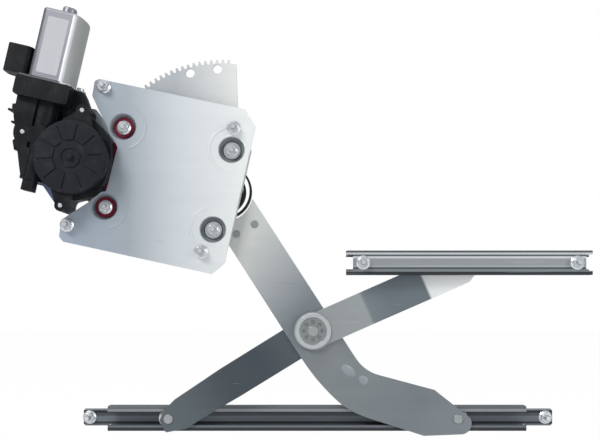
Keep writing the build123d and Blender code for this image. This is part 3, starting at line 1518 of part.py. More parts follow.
with BuildPart() as equalizer_roller_pin:
    rear_roller_pin(LOWER_END)
equalizer_roller_pin.part.label = "equalizer_roller_pin"
export_step(equalizer_roller_pin.part, "parts/equalizer_roller_pin.step")

with BuildPart() as guide_roller_pin:
    cap = GUIDE_ROLLER_Y - 0.3
    arm_back = UPPER_END_Y + ARM_T
    revolved(
        GUIDE_END,
        [
            (0, arm_back + ROLLER_PIN_HEAD_T),
            (ROLLER_PIN_HEAD_R - 1.0, arm_back + ROLLER_PIN_HEAD_T),
            (ROLLER_PIN_HEAD_R, arm_back),
            (ROLLER_PIN_R, arm_back),
            (ROLLER_PIN_R, cap),
            (PIN_CAP_R, cap),
            (PIN_CAP_R, cap - PIN_CAP_T),
            (0, cap - PIN_CAP_T),
        ],
    )
guide_roller_pin.part.label = "guide_roller_pin"
export_step(guide_roller_pin.part, "parts/guide_roller_pin.step")
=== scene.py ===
# %% [markdown]
# # A window regulator, dressed for its photograph
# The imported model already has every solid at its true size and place. This script gives those
# solids softened edges and real finishes, adds what is too fine for the solids, such as threads
# and a blank label, and sets up a camera that stands where the photograph was taken.

# %% Load the frame
import json
import math

import bmesh
import bpy
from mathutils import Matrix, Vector
from mathutils.bvhtree import BVHTree

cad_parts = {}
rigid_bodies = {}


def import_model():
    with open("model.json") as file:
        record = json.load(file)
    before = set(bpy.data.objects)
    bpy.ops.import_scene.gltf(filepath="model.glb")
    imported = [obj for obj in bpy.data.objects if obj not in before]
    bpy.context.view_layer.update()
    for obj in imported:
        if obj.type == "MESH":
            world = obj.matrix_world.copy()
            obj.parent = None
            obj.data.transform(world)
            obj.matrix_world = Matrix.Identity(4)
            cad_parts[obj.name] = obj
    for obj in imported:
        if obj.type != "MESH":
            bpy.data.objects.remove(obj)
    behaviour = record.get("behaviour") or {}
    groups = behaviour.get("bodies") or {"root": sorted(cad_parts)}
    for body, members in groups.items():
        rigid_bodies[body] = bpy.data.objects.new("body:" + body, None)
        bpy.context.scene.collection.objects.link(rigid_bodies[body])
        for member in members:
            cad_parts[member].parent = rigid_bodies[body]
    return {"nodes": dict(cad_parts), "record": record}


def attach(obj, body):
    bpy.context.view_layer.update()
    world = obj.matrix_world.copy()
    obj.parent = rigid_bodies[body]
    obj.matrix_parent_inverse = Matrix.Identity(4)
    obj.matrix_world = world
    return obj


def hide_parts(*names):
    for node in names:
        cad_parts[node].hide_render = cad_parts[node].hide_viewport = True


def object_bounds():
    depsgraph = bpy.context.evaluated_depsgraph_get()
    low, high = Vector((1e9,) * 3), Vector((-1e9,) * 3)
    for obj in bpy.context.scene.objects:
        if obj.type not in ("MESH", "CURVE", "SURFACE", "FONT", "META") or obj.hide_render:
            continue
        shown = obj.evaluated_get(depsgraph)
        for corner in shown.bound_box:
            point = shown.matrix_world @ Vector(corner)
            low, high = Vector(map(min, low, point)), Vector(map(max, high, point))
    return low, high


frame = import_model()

cad_low, cad_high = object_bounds()
nodes = frame["nodes"]
scene = bpy.context.scene
print("solids:", len(nodes), "box in mm:", [round(v * 1000, 1) for v in (cad_high - cad_low)])

# %% [markdown]
# ## Camera, floor and light
# The photograph was taken square to the plate, from about three quarters of a metre: the motor
# can shows its right side because it stands far left of the lens. A long lens from further off
# would hide that side, so the distance matters more than the focal length. The lens looks
# straight at the linkage and is shifted up to frame the motor.

# %% Camera
MM = 0.001
LENS_POINT = (162.6, -135.85)  # x and z in mm, as every place on the part is given
DISTANCE = 750.0
WIDE_MM = 600.0
FRAME_SHIFT = (-15.0, 85.0)
SENSOR_MM = 36.0
NEAREST = 0.01

camera_data = bpy.data.cameras.new("camera")
camera_data.sensor_width = SENSOR_MM
camera_data.lens = SENSOR_MM * DISTANCE / WIDE_MM
camera_data.shift_x = FRAME_SHIFT[0] / WIDE_MM
camera_data.shift_y = FRAME_SHIFT[1] / WIDE_MM
camera_data.clip_start = NEAREST
camera = bpy.data.objects.new("camera", camera_data)
camera.location = (LENS_POINT[0] * MM, -DISTANCE * MM, LENS_POINT[1] * MM)
camera.rotation_euler = (math.pi / 2, 0, 0)
scene.collection.objects.link(camera)
scene.camera = camera
scene.view_settings.view_transform = "Standard"
print("camera at", [round(v, 3) for v in camera.location])

# %% [markdown]
# The ground of the photograph is plain white. Making the lamps stronger would wash out the metal,
# so the floor and the world look white to the camera by themselves, and the lamps stay at a plain
# level. The floor keeps a small share of plain paper, so that it takes a trace of the part's shadow.

# %% Helpers for colours, nodes and meshes
def linear(r, g, b):
    """A colour as a photo editor shows it, 0 to 255, in the linear numbers that Blender mixes."""
    out = []
    for v in (r, g, b):
        v /= 255
        out.append(v / 12.92 if v <= 0.04045 else ((v + 0.055) / 1.055) ** 2.4)
    return (*out, 1.0)


def add_node(tree, kind, sockets=None, **settings):
    """A node whose sockets are set to values or linked to other sockets, by name or place."""
    n = tree.nodes.new(kind)
    for key, value in settings.items():
        setattr(n, key, value)
    for key, value in (sockets or {}).items():
        if isinstance(value, bpy.types.NodeSocket):
            tree.links.new(value, n.inputs[key])
        else:
            n.inputs[key].default_value = value
    return n


def mesh_object(name, points, faces):
    mesh = bpy.data.meshes.new(name)
    mesh.from_pydata(points, [], faces)
    mesh.update()
    obj = bpy.data.objects.new(name, mesh)
    scene.collection.objects.link(obj)
    return obj


print("middle grey in linear numbers:", round(linear(128, 128, 128)[0], 3))

# %% White for the camera alone
WHITE = (1, 1, 1, 1)


def white_for_camera(tree, output_kind, plain, white_kind, share):
    """Shows the camera white by this share. Every other ray meets the plain shader."""
    white = add_node(tree, white_kind, {"Color": WHITE, "Strength": 1.0})
    path = tree.nodes.new("ShaderNodeLightPath")
    seen = add_node(tree, "ShaderNodeMath", {0: path.outputs["Is Camera Ray"], 1: share},
                    operation="MULTIPLY")
    mix = add_node(tree, "ShaderNodeMixShader",
                   {0: seen.outputs[0], 1: plain.outputs[0], 2: white.outputs[0]})
    add_node(tree, output_kind, {0: mix.outputs[0]})


# %% Floor, in metres
FLOOR_DROP = 0.03
FLOOR_HALF = 4.0
FLOOR_GLOW = 0.98
PAPER = (248, 248, 248)

floor_z = cad_low.z - FLOOR_DROP
floor_corners = [(-FLOOR_HALF, -FLOOR_HALF, floor_z), (FLOOR_HALF, -FLOOR_HALF, floor_z),
                 (FLOOR_HALF, FLOOR_HALF, floor_z), (-FLOOR_HALF, FLOOR_HALF, floor_z)]
floor = mesh_object("floor", floor_corners, [(0, 1, 2, 3)])
floor_paper = bpy.data.materials.new("floor_paper")
floor_paper.use_nodes = True
floor_paper.node_tree.nodes.clear()
paper = add_node(floor_paper.node_tree, "ShaderNodeBsdfDiffuse", {"Color": linear(*PAPER)})
white_for_camera(floor_paper.node_tree, "ShaderNodeOutputMaterial", paper, "ShaderNodeEmission",
                 FLOOR_GLOW)
floor.data.materials.append(floor_paper)
print("floor at z in mm:", round(floor_z / MM, 1))

# %% World
STUDIO = (226, 230, 236)
STUDIO_LEVEL = 0.47

world = bpy.data.worlds.new("studio")
scene.world = world
world.use_nodes = True
world.node_tree.nodes.clear()
studio = add_node(world.node_tree, "ShaderNodeBackground",
                  {"Color": linear(*STUDIO), "Strength": STUDIO_LEVEL})
white_for_camera(world.node_tree, "ShaderNodeOutputWorld", studio, "ShaderNodeBackground", 1.0)
print("world lights the part at", STUDIO_LEVEL)

# %% [markdown]
# Flat plated sheet is nearly a mirror, so a lamp that the lens sees in it burns out half the
# plate. Each lamp therefore stands so far to one side that its reflection falls beside the part.
# The key comes from the upper left, which throws each nut's shadow to the lower right, as in the
# photograph.

# %% Lamps
MIDDLE = Vector((0.16, 0.0, -0.07))
LAMPS = {
    # place and size in metres, power in watts
    "key": ((-1.3, -1.7, 1.8), (1.1, 0.8), 50),
    "fill": ((1.4, -0.85, 0.25), (0.5, 0.9), 7),
    "top": ((0.1, 0.3, 1.4), (1.2, 0.6), 7),
}
for name, (place, size, power) in LAMPS.items():
    light = bpy.data.lights.new(name, "AREA")
    light.shape = "RECTANGLE"
    light.size, light.size_y = size
    light.energy = power
    lamp = bpy.data.objects.new(name, light)
    lamp.location = place
    lamp.rotation_euler = (MIDDLE - Vector(place)).to_track_quat("-Z", "Y").to_euler()
    scene.collection.objects.link(lamp)
    print("lamp", name, power, "W")

# %% [markdown]
# ## Effects that several finishes share
# Pressed sheet is never one flat grey. Rolling leaves long faint streaks, the zinc bath leaves
# soft clouds, and handling leaves fine scratches. Each of these is a noise pattern stretched or
# scaled in its own way. They are kept in one node group, so that each metal can use them with its
# own strength.

# %% A group with named sockets
FLOAT, VECTOR = "NodeSocketFloat", "NodeSocketVector"


def new_group(name, inputs, outputs):
    """A shader group. Its inputs are (name, kind) or (name, kind, value), its outputs are floats."""
    tree = bpy.data.node_groups.new(name, "ShaderNodeTree")
    for label, kind, *value in inputs:
        socket = tree.interface.new_socket(label, in_out="INPUT", socket_type=kind)
        if value:
            socket.default_value = value[0]
    for label in outputs:
        tree.interface.new_socket(label, in_out="OUTPUT", socket_type=FLOAT)
    return tree, tree.nodes.new("NodeGroupInput").outputs, tree.nodes.new("NodeGroupOutput").inputs


def put_out(tree, outputs, results):
    """Links each result to the group's output of that name."""
    for label, result in results.items():
        tree.links.new(result, outputs[label])


# %% Sums on values and vectors
def math_node(tree, operation, *values, clamp=False):
    return add_node(tree, "ShaderNodeMath", dict(enumerate(values)), operation=operation,
                    use_clamp=clamp).outputs[0]


def vector_math(tree, operation, a, b):
    n = add_node(tree, "ShaderNodeVectorMath", {0: a, 1: b}, operation=operation)
    return n.outputs["Value" if operation == "DOT_PRODUCT" else "Vector"]


def blended(tree, a, b, share, clamp=False):
    """b by its share and a by the rest, added up."""
    return math_node(tree, "ADD", math_node(tree, "MULTIPLY", a, 1.0 - share),
                     math_node(tree, "MULTIPLY", b, share), clamp=clamp)


# %% Noise, and what is done to it
def noise(tree, vector, scale, detail=2.0, rough=0.5, distortion=0.0):
    return add_node(tree, "ShaderNodeTexNoise", {
        "Vector": vector, "Scale": scale, "Detail": detail, "Roughness": rough,
        "Distortion": distortion}).outputs["Fac"]


def ramp(tree, value, low, high):
    """0 below low, 1 above high, straight between."""
    return add_node(tree, "ShaderNodeMapRange", {"Value": value, "From Min": low, "From Max": high},
                    clamp=True).outputs["Result"]


def stretched(tree, vector, turn, along):
    """The pattern's coordinates, turned in the door's plane and drawn out along the sheet."""
    return add_node(tree, "ShaderNodeMapping", {
        "Vector": vector, "Scale": (along, 1.0, 1.0), "Rotation": (0, math.radians(turn), 0),
    }, vector_type="POINT").outputs["Vector"]


# %% Sheet marks: streaks, clouds and scratches
sheet_tree, g_in, g_out = new_group(
    "sheet_marks", [("Vector", VECTOR), ("Along", VECTOR)],
    ["Clouds", "Streaks", "Scratches", "Height"])
clouds_big = noise(sheet_tree, g_in["Vector"], 14.0, 3.0, 0.55, 0.6)
clouds_small = noise(sheet_tree, g_in["Vector"], 70.0, 4.0, 0.6)
streaks = noise(sheet_tree, g_in["Along"], 55.0, 5.0, 0.6)
fine = noise(sheet_tree, g_in["Along"], 420.0)
scratches = noise(sheet_tree, g_in["Along"], 260.0, 2.0, 0.4, 1.5)
put_out(sheet_tree, g_out, {
    "Clouds": ramp(sheet_tree, blended(sheet_tree, clouds_big, clouds_small, 0.3), 0.32, 0.68),
    "Streaks": ramp(sheet_tree, streaks, 0.35, 0.68),
    "Scratches": ramp(sheet_tree, scratches, 0.7, 0.76),
    "Height": blended(sheet_tree, fine, clouds_small, 0.65),
})
print(sheet_tree.name, "nodes:", len(sheet_tree.nodes))

# %% Worn and shaded edges: where the rounded normal leaves the flat one
# With a pale edge tone this mask marks worn edges. With a dark edge tone it paints shade along the
# edges and into the corners.
BEVEL_SAMPLES = 4

edge_tree, e_in, e_out = new_group(
    "rubbed_and_shaded_edges", [("Gain", FLOAT, 3.0), ("Radius", FLOAT, 0.0006)], ["Mask"])
bevel = add_node(edge_tree, "ShaderNodeBevel", {"Radius": e_in["Radius"]}, samples=BEVEL_SAMPLES)
face = edge_tree.nodes.new("ShaderNodeNewGeometry")
agree = vector_math(edge_tree, "DOT_PRODUCT", bevel.outputs[0], face.outputs["Normal"])
bend = math_node(edge_tree, "SUBTRACT", 1.0, agree, clamp=True)
put_out(edge_tree, e_out, {
    "Mask": math_node(edge_tree, "MULTIPLY", bend, e_in["Gain"], clamp=True)})
print(edge_tree.name, "nodes:", len(edge_tree.nodes))

# %% Mould grain: the fine texture and flow marks of moulded plastic and rubber
grain_tree, m_in, m_out = new_group(
    "mould_grain", [("Vector", VECTOR), ("Fineness", FLOAT, 900.0)], ["Flow", "Dust", "Height"])
flow = noise(grain_tree, m_in["Vector"], 30.0, 3.0, 0.5, 0.8)
dust = noise(grain_tree, m_in["Vector"], 120.0, 6.0, 0.7)
put_out(grain_tree, m_out, {
    "Flow": ramp(grain_tree, flow, 0.35, 0.65),
    "Dust": ramp(grain_tree, dust, 0.52, 0.75),
    "Height": noise(grain_tree, m_in["Vector"], m_in["Fineness"]),
})
print(grain_tree.name, "nodes:", len(grain_tree.nodes))

# %% [markdown]
# A long arm isn't one tone from end to end either. Each stretch between two bends leans a little
# differently and so mirrors another part of the room. A lamp could do that for one arm, but never
# for all of them at once, so the tone is a ramp of a few colours that runs along the piece. The
# group below only says how far along a point lies.

# %% How far a point lies along a line, 0 at its start and 1 at its end
line_tree, l_in, l_out = new_group(
    "along_line", [("Vector", VECTOR), ("Start", VECTOR), ("Run", VECTOR)], ["Share"])
from_start = vector_math(line_tree, "SUBTRACT", l_in["Vector"], l_in["Start"])
reached = vector_math(line_tree, "DOT_PRODUCT", from_start, l_in["Run"])
whole = vector_math(line_tree, "DOT_PRODUCT", l_in["Run"], l_in["Run"])
put_out(line_tree, l_out, {"Share": math_node(line_tree, "DIVIDE", reached, whole)})
print(line_tree.name, "nodes:", len(line_tree.nodes))

# %% [markdown]
# The plate's dishes are pressed six millimetres deep, so light hardly reaches their floors. Their
# shade is soft at the rim and the same all round, which a round mask gives: 1 inside a radius, 0
# outside it.

# %% A round mask about a point, seen from the front
HALF_BLEND = 0.0006

spot_tree, r_in, r_out = new_group(
    "round_spot", [("Vector", VECTOR), ("Middle", VECTOR), ("Radius", FLOAT, 0.01)], ["Mask"])
off_middle = vector_math(spot_tree, "SUBTRACT", r_in["Vector"], r_in["Middle"])
split = add_node(spot_tree, "ShaderNodeSeparateXYZ", {0: off_middle})
squares = math_node(spot_tree, "ADD", math_node(spot_tree, "POWER", split.outputs["X"], 2.0),
                    math_node(spot_tree, "POWER", split.outputs["Z"], 2.0))
inside = math_node(spot_tree, "SUBTRACT", r_in["Radius"], math_node(spot_tree, "SQRT", squares))
put_out(spot_tree, r_out, {"Mask": ramp(spot_tree, inside, -HALF_BLEND, HALF_BLEND)})
print(spot_tree.name, "nodes:", len(spot_tree.nodes))

# %% [markdown]
# ## Finishes
# Every sheet piece is zinc-plated steel, but no two look alike: the plate is pale, the arms are
# darker where they reflect the room, and the spring is oiled and nearly black. One function
# builds such a metal from its tones along a line, and from the direction in which the sheet was
# rolled. The marks then darken the tone a little, so that the grey wanders.

# %% Parts of a finish
def new_finish(name):
    """A material with its tree, its Principled BSDF and the piece's own coordinates."""
    mat = bpy.data.materials.new(name)
    mat.use_nodes = True
    tree = mat.node_tree
    coords = tree.nodes.new("ShaderNodeTexCoord").outputs["Object"]
    return mat, tree, tree.nodes["Principled BSDF"], coords


def mixed(tree, factor, a, b, way="MIX"):
    """Two colours mixed. The factor is b's share, or how strongly b multiplies a."""
    return add_node(tree, "ShaderNodeMix", {0: factor, 6: a, 7: b}, data_type="RGBA",
                    blend_type=way).outputs[2]


def faded(tree, mask, share):
    """A mask turned down to a share of itself."""
    return math_node(tree, "MULTIPLY", mask, share)


def bumped(tree, bsdf, height, strength, depth):
    """Lets a height tilt the light on the surface a little."""
    lift = add_node(tree, "ShaderNodeBump",
                    {"Height": height, "Strength": strength, "Distance": depth})
    tree.links.new(lift.outputs["Normal"], bsdf.inputs["Normal"])


# %% Tones along a line
def tone_line(tree, coords, tones, start, end):
    """Colours at their shares of the way from start to end, both (x, z) in mm."""
    reach = add_node(tree, "ShaderNodeGroup", {
        "Vector": coords, "Start": (start[0] * MM, 0, start[1] * MM),
        "Run": ((end[0] - start[0]) * MM, 0, (end[1] - start[1]) * MM)}, node_tree=line_tree)
    colours = add_node(tree, "ShaderNodeValToRGB", {"Fac": reach.outputs["Share"]})
    stops = colours.color_ramp.elements
    while len(stops) < len(tones):
        stops.new(1.0)
    for stop, (share, tone) in zip(stops, tones):
        stop.position = share
        stop.color = linear(*tone)
    return colours.outputs["Color"]


def one_tone(r, g, b):
    """The same colour all the way."""
    return [(0.0, (r, g, b)), (1.0, (r, g, b))]


# %% Zinc-plated sheet
WORN_ZINC = (232, 236, 238)
SHEET_SHADE = (205, 208, 212)
STREAK_SHARE = 0.5
SCRATCH_SHARE = 0.12
SHEET_BUMP_GAIN = 5
SHEET_BUMP_DEPTH = 0.0003


def plated_sheet(name, tones, start=(0, 0), end=(100, 0), turn=0.0, metallic=0.3,
                 rough=(0.4, 0.54), drawn=0.06, vary=0.5, edge=WORN_ZINC, edge_rub_and_shade=0.4, bump=0.04,
                 gain=2.0, line=0.6, spots=()):
    """A rolled and plated sheet, from its tones along a line and its rolling direction.

    turn is in degrees, rough is a range, line is the width of the edge band in mm, which is wear
    where the edge tone is pale and painted shade where it is dark, and each of the spots is a round
    patch of painted shade: its middle, its radius in mm, its share and its tone.
    """
    mat, tree, bsdf, coords = new_finish(name)
    marks = add_node(tree, "ShaderNodeGroup", {
        "Vector": coords, "Along": stretched(tree, coords, turn, drawn)}, node_tree=sheet_tree)
    wander = blended(tree, marks.outputs["Clouds"], marks.outputs["Streaks"], STREAK_SHARE,
                     clamp=True)
    tone = tone_line(tree, coords, tones, start, end)
    for (x, z), radius, share, dark in spots:
        spot = add_node(tree, "ShaderNodeGroup", {
            "Vector": coords, "Middle": (x * MM, 0, z * MM), "Radius": radius * MM},
            node_tree=spot_tree)
        tone = mixed(tree, faded(tree, spot.outputs["Mask"], share), tone, linear(*dark))
    sheet = mixed(tree, faded(tree, wander, vary), tone, linear(*SHEET_SHADE), "MULTIPLY")
    scratches = faded(tree, marks.outputs["Scratches"], SCRATCH_SHARE)
    scratched = mixed(tree, scratches, sheet, linear(*edge))
    # The edge band is wear where the edge tone is pale, and painted shade where it is dark.
    edge_band = add_node(tree, "ShaderNodeGroup", {"Gain": gain, "Radius": line * MM},
                    node_tree=edge_tree)
    colour = mixed(tree, faded(tree, edge_band.outputs["Mask"], edge_rub_and_shade), scratched, linear(*edge))
    tree.links.new(colour, bsdf.inputs["Base Color"])
    gloss = math_node(tree, "ADD", faded(tree, wander, rough[1] - rough[0]), rough[0])
    tree.links.new(gloss, bsdf.inputs["Roughness"])
    bsdf.inputs["Metallic"].default_value = metallic
    bumped(tree, bsdf, marks.outputs["Height"], bump * SHEET_BUMP_GAIN, SHEET_BUMP_DEPTH)
    return mat


# %% [markdown]
# The places below are the part's own: where the plate ends, where the lift arm turns, where the
# equalizer is riveted and where its halves bend. The tones were chosen from the photograph, a few to
# each piece.

# %% Tones of the plate, the sector and the arms
PLATE_TURN = 13.15
PIVOT = (68.6, -20.2)
HUB = (160.6, -162.2)
GLASS_LEFT_PIVOT = (10.1, -254.4)
GLASS_RIGHT_PIVOT = (311.1, -254.4)
GUIDE_PIVOT = (315.4, -93.9)
PIVOT_DISHES = [(79.1, 19.5), (60.4, -60.4)]
MOTOR_DISHES = [(-29.4, 42.4), (-48.1, -37.5)]
DISH_SHADE = [(at, 13.0, 0.85, (112, 119, 120)) for at in PIVOT_DISHES]
DISH_SHADE += [(at, 9.8, 0.9, (56, 62, 64)) for at in PIVOT_DISHES]
DISH_SHADE += [(at, 12.4, 0.7, (128, 130, 133)) for at in MOTOR_DISHES]

# Painted light: the plate runs from a darker bluish grey at the left to near white at the right. Its
# dark edge tone is painted shade along its border, and its spots are painted shade in the dishes.
zinc_plate = plated_sheet(
    "zinc_plate",
    [(0.0, (156, 168, 180)), (0.35, (163, 171, 178)), (0.6, (205, 210, 213)),
     (1.0, (237, 240, 237))],
    (-90, 0), (95, 0), PLATE_TURN, vary=0.35, edge=(112, 118, 122), edge_rub_and_shade=0.7, line=0.5,
    spots=DISH_SHADE,
)
# Painted light: the sector is darker at the left and lighter at the right, and its dark edge tone is
# painted shade along its border.
zinc_sector = plated_sheet(
    "zinc_sector", [(0.0, (178, 182, 185)), (1.0, (229, 230, 227))], (20, 0), (85, 0), vary=0.3,
    edge=(118, 122, 124), edge_rub_and_shade=0.7, line=0.5,
)
# Painted reflections: the lift arm and both equalizer halves change tone from one stretch between
# bends to the next. The lift arm's dark edge tone is painted shade along its edges.
zinc_lift_arm = plated_sheet(
    "zinc_lift_arm",
    [(0.05, (212, 213, 210)), (0.16, (204, 206, 202)), (0.28, (171, 175, 176)),
     (0.42, (122, 129, 134)), (0.5, (122, 129, 132)), (0.56, (125, 130, 132)),
     (0.69, (128, 135, 137)), (0.88, (120, 127, 131)), (1.0, (126, 132, 136))],
    PIVOT, GLASS_RIGHT_PIVOT, 57.0, vary=0.4, edge=(88, 94, 98), edge_rub_and_shade=0.6, line=0.7,
)
zinc_upper_half = plated_sheet(
    "zinc_upper_half",
    [(0.0, (146, 151, 153)), (0.34, (154, 159, 158)), (0.36, (118, 127, 132)),
     (0.5, (106, 116, 121)), (0.715, (106, 115, 121)), (0.73, (230, 233, 231)),
     (1.0, (246, 247, 245))],
    HUB, GUIDE_PIVOT, -23.8, vary=0.3,
)
zinc_lower_half = plated_sheet(
    "zinc_lower_half",
    [(0.0, (86, 94, 99)), (0.2, (76, 84, 90)), (0.35, (63, 71, 78)), (0.6, (66, 74, 80)),
     (0.85, (86, 95, 100)), (1.0, (92, 101, 105))],
    HUB, GLASS_LEFT_PIVOT, -31.5, vary=0.35, edge_rub_and_shade=0.3,
)
print("arm finishes:", zinc_lift_arm.name, zinc_upper_half.name, zinc_lower_half.name)

# %% [markdown]
# Each channel is rolled from one strip, and its lips, folds and web each catch light or lie in shade
# at their own height. That light and shade is painted into its tones, which run from the top edge
# down, in narrow bands.

# %% Tones of the channels, from the top edge down
HALF_STEP = 0.008


def bands(top, bottom, tones):
    """Steps of tone at heights in mm, from the top edge down, with short blends between them."""
    tall = top - bottom
    out = []
    for z_from, z_to, tone in tones:
        out.append((max(0.0, (top - z_from) / tall + HALF_STEP), tone))
        out.append((min(1.0, (top - z_to) / tall - HALF_STEP), tone))
    return out


GUIDE_TOP, GUIDE_BOTTOM = -81.4, -105.9
GUIDE_BANDS = [
    (-81.4, -84.0, (84, 88, 91)), (-84.0, -85.9, (196, 200, 202)), (-85.9, -87.7, (88, 93, 96)),
    (-87.7, -89.7, (206, 209, 211)), (-89.7, -96.8, (148, 153, 155)),
    (-96.8, -98.5, (164, 169, 171)), (-98.5, -100.3, (74, 79, 82)),
    (-100.3, -102.9, (126, 132, 134)), (-102.9, -105.9, (40, 44, 47)),
]
GLASS_TOP, GLASS_BOTTOM = -241.0, -267.5
GLASS_BANDS = [
    (-241.0, -244.2, (98, 102, 106)), (-244.2, -247.1, (138, 142, 145)),
    (-247.1, -250.0, (42, 46, 50)), (-250.0, -253.0, (76, 82, 87)),
    (-253.0, -259.0, (108, 116, 122)), (-259.0, -261.4, (44, 48, 52)),
    (-261.4, -263.7, (108, 113, 117)), (-263.7, -267.5, (46, 50, 54)),
]
zinc_guide_channel = plated_sheet(
    "zinc_guide_channel", bands(GUIDE_TOP, GUIDE_BOTTOM, GUIDE_BANDS),
    (0, GUIDE_TOP), (0, GUIDE_BOTTOM), drawn=0.02, vary=0.4, edge_rub_and_shade=0.2,
)
zinc_glass_channel = plated_sheet(
    "zinc_glass_channel", bands(GLASS_TOP, GLASS_BOTTOM, GLASS_BANDS),
    (0, GLASS_TOP), (0, GLASS_BOTTOM), drawn=0.02, vary=0.5, edge_rub_and_shade=0.2,
)
print("bands on the guide channel:", len(GUIDE_BANDS), "on the glass channel:", len(GLASS_BANDS))

# %% Motor can, bulges, bracket and fasteners
# Painted light: across the can the tone is dark on its shaded left side and mid grey on the flat
# front. It is near white on the narrow bevel at the right, a painted highlight, and darker again on
# the right side.
zinc_can = plated_sheet(
    "zinc_can",
    [(0.0, (86, 88, 92)), (0.13, (112, 113, 118)), (0.15, (146, 147, 154)),
     (0.79, (150, 151, 157)), (0.81, (222, 223, 225)), (0.87, (222, 223, 225)),
     (0.89, (190, 192, 189)), (1.0, (176, 178, 174))],
    (-108.3, 118.4), (-69.5, 109.3), 90 + PLATE_TURN, metallic=0.45, rough=(0.3, 0.4), vary=0.25,
)
# Painted light: the bulges are lighter than the arm round them, so that they show as light ovals.
zinc_bulge = plated_sheet("zinc_bulge", one_tone(146, 153, 156), turn=57.0, vary=0.4)
# Painted reflection: the bracket runs from blue-violet at the lower left to pale grey at the upper
# right.
zinc_bracket = plated_sheet(
    "zinc_bracket", [(0.0, (128, 142, 182)), (0.45, (140, 152, 184)), (1.0, (182, 189, 193))],
    (-105, -20), (-50, 50),
)
# Painted shade: the dark edge tone draws dark lines along the edges and corners of the nuts, studs,
# bolts and washers.
zinc_fastener = plated_sheet(
    "zinc_fastener", one_tone(222, 225, 227), metallic=0.6, rough=(0.24, 0.34), vary=0.3,
    edge=(26, 30, 34), edge_rub_and_shade=0.95, bump=0.01, gain=8.0, line=0.65,
)
print("fastener finish:", zinc_fastener.name)

# %% Steel, bronze, copper and brass
bright_steel = plated_sheet(
    "bright_steel", one_tone(168, 172, 172), metallic=0.7, rough=(0.26, 0.4), vary=0.4,
)
# Painted shade: the hollow rivet's recess is darkened inside 13.4 mm, less so inside 5.6 mm, and the
# dark edge tone draws shade along its edges.
hub_steel = plated_sheet(
    "hub_steel", one_tone(190, 194, 194), metallic=0.5, rough=(0.3, 0.42), vary=0.3,
    edge=(70, 74, 77), edge_rub_and_shade=0.7, gain=6.0, line=0.5,
    spots=[(HUB, 13.4, 0.8, (124, 129, 128)), (HUB, 5.6, 0.8, (168, 172, 172))],
)
spring_steel = plated_sheet(
    "spring_steel", one_tone(46, 47, 50), metallic=0.6, edge=(104, 106, 110),
)
bronze = plated_sheet("bronze", one_tone(176, 144, 96), metallic=0.8, edge=(206, 178, 130))
copper = plated_sheet("copper", one_tone(196, 118, 76), metallic=0.85, edge=(226, 158, 118))
contact_brass = plated_sheet(
    "contact_brass", one_tone(206, 190, 140), metallic=0.9, edge=(230, 220, 180),
)
print("bare metals:", [m.name for m in (bright_steel, hub_steel, spring_steel, bronze, copper,
                                        contact_brass)])

# %% [markdown]
# ## Moulded pieces
# Black glass-filled nylon has a soft sheen and a fine grain, with a little pale dust in the
# corners. Maroon rubber is duller. Both come from one function, because only the tones, the gloss
# and the grain differ.

# %% Plastics and rubber
MOULD_DUST = (150, 148, 144)
FLOW_SHARE = 0.5
GLOSS_RANGE = 0.12
MOULD_WEAR_GAIN, MOULD_WEAR_SHARE = 1.6, 0.3
MOULD_BUMP, MOULD_BUMP_DEPTH = 0.1, 0.0002


def moulded(name, tone, pale, rough=0.5, fineness=900.0, dusty=0.05, shine=0.2):
    """A moulded finish, its tone drifting towards a paler one with the flow of the melt."""
    mat, tree, bsdf, coords = new_finish(name)
    bsdf.inputs["Specular IOR Level"].default_value = shine
    marks = add_node(tree, "ShaderNodeGroup", {"Vector": coords, "Fineness": fineness},
                     node_tree=grain_tree)
    flow_mask = marks.outputs["Flow"]
    flowed = mixed(tree, faded(tree, flow_mask, FLOW_SHARE), linear(*tone), linear(*pale))
    dusted = mixed(tree, faded(tree, marks.outputs["Dust"], dusty), flowed, linear(*MOULD_DUST))
    edge_band = add_node(tree, "ShaderNodeGroup", {"Gain": MOULD_WEAR_GAIN}, node_tree=edge_tree)
    edges = faded(tree, edge_band.outputs["Mask"], MOULD_WEAR_SHARE)
    tree.links.new(mixed(tree, edges, dusted, linear(*pale)), bsdf.inputs["Base Color"])
    gloss = math_node(tree, "ADD", faded(tree, flow_mask, GLOSS_RANGE), rough - GLOSS_RANGE / 2)
    tree.links.new(gloss, bsdf.inputs["Roughness"])
    bumped(tree, bsdf, marks.outputs["Height"], MOULD_BUMP, MOULD_BUMP_DEPTH)
    return mat


# %% Moulded finishes
black_nylon = moulded("black_nylon", (15, 17, 19), (34, 36, 40), rough=0.46, shine=0.16)
dusty_nylon = moulded("dusty_nylon", (58, 60, 64), (78, 80, 84), rough=0.6)
cover_nylon = moulded("cover_nylon", (24, 26, 32), (35, 37, 43), rough=0.55, shine=0.16)
maroon_rubber = moulded("maroon_rubber", (98, 12, 34), (132, 30, 54), rough=0.6, fineness=500.0)
white_acetal = moulded(
    "white_acetal", (214, 210, 198), (228, 224, 214), rough=0.4, fineness=300.0, shine=0.5,
)
ferrite_black = moulded("ferrite_black", (42, 42, 44), (60, 60, 62), rough=0.7, fineness=1400.0)
label_paper = moulded(
    "label_paper", (184, 184, 187), (192, 191, 197), rough=0.6, fineness=700.0, dusty=0.03,
)
print("moulded finishes:", [m.name for m in (black_nylon, dusty_nylon, cover_nylon, maroon_rubber,
                                             white_acetal, ferrite_black, label_paper)])

# %% [markdown]
# ## Softened solids
# A pressed or moulded edge is never razor sharp: it catches a thin line of light. Each visible
# solid is therefore copied, its loose triangles are joined, and a Bevel modifier rounds the edges
# by a few tenths of a millimetre. The copy stands for the solid, which stays in the model for
# collision. The sector is left as it is: its teeth are so fine that rounding would eat them.

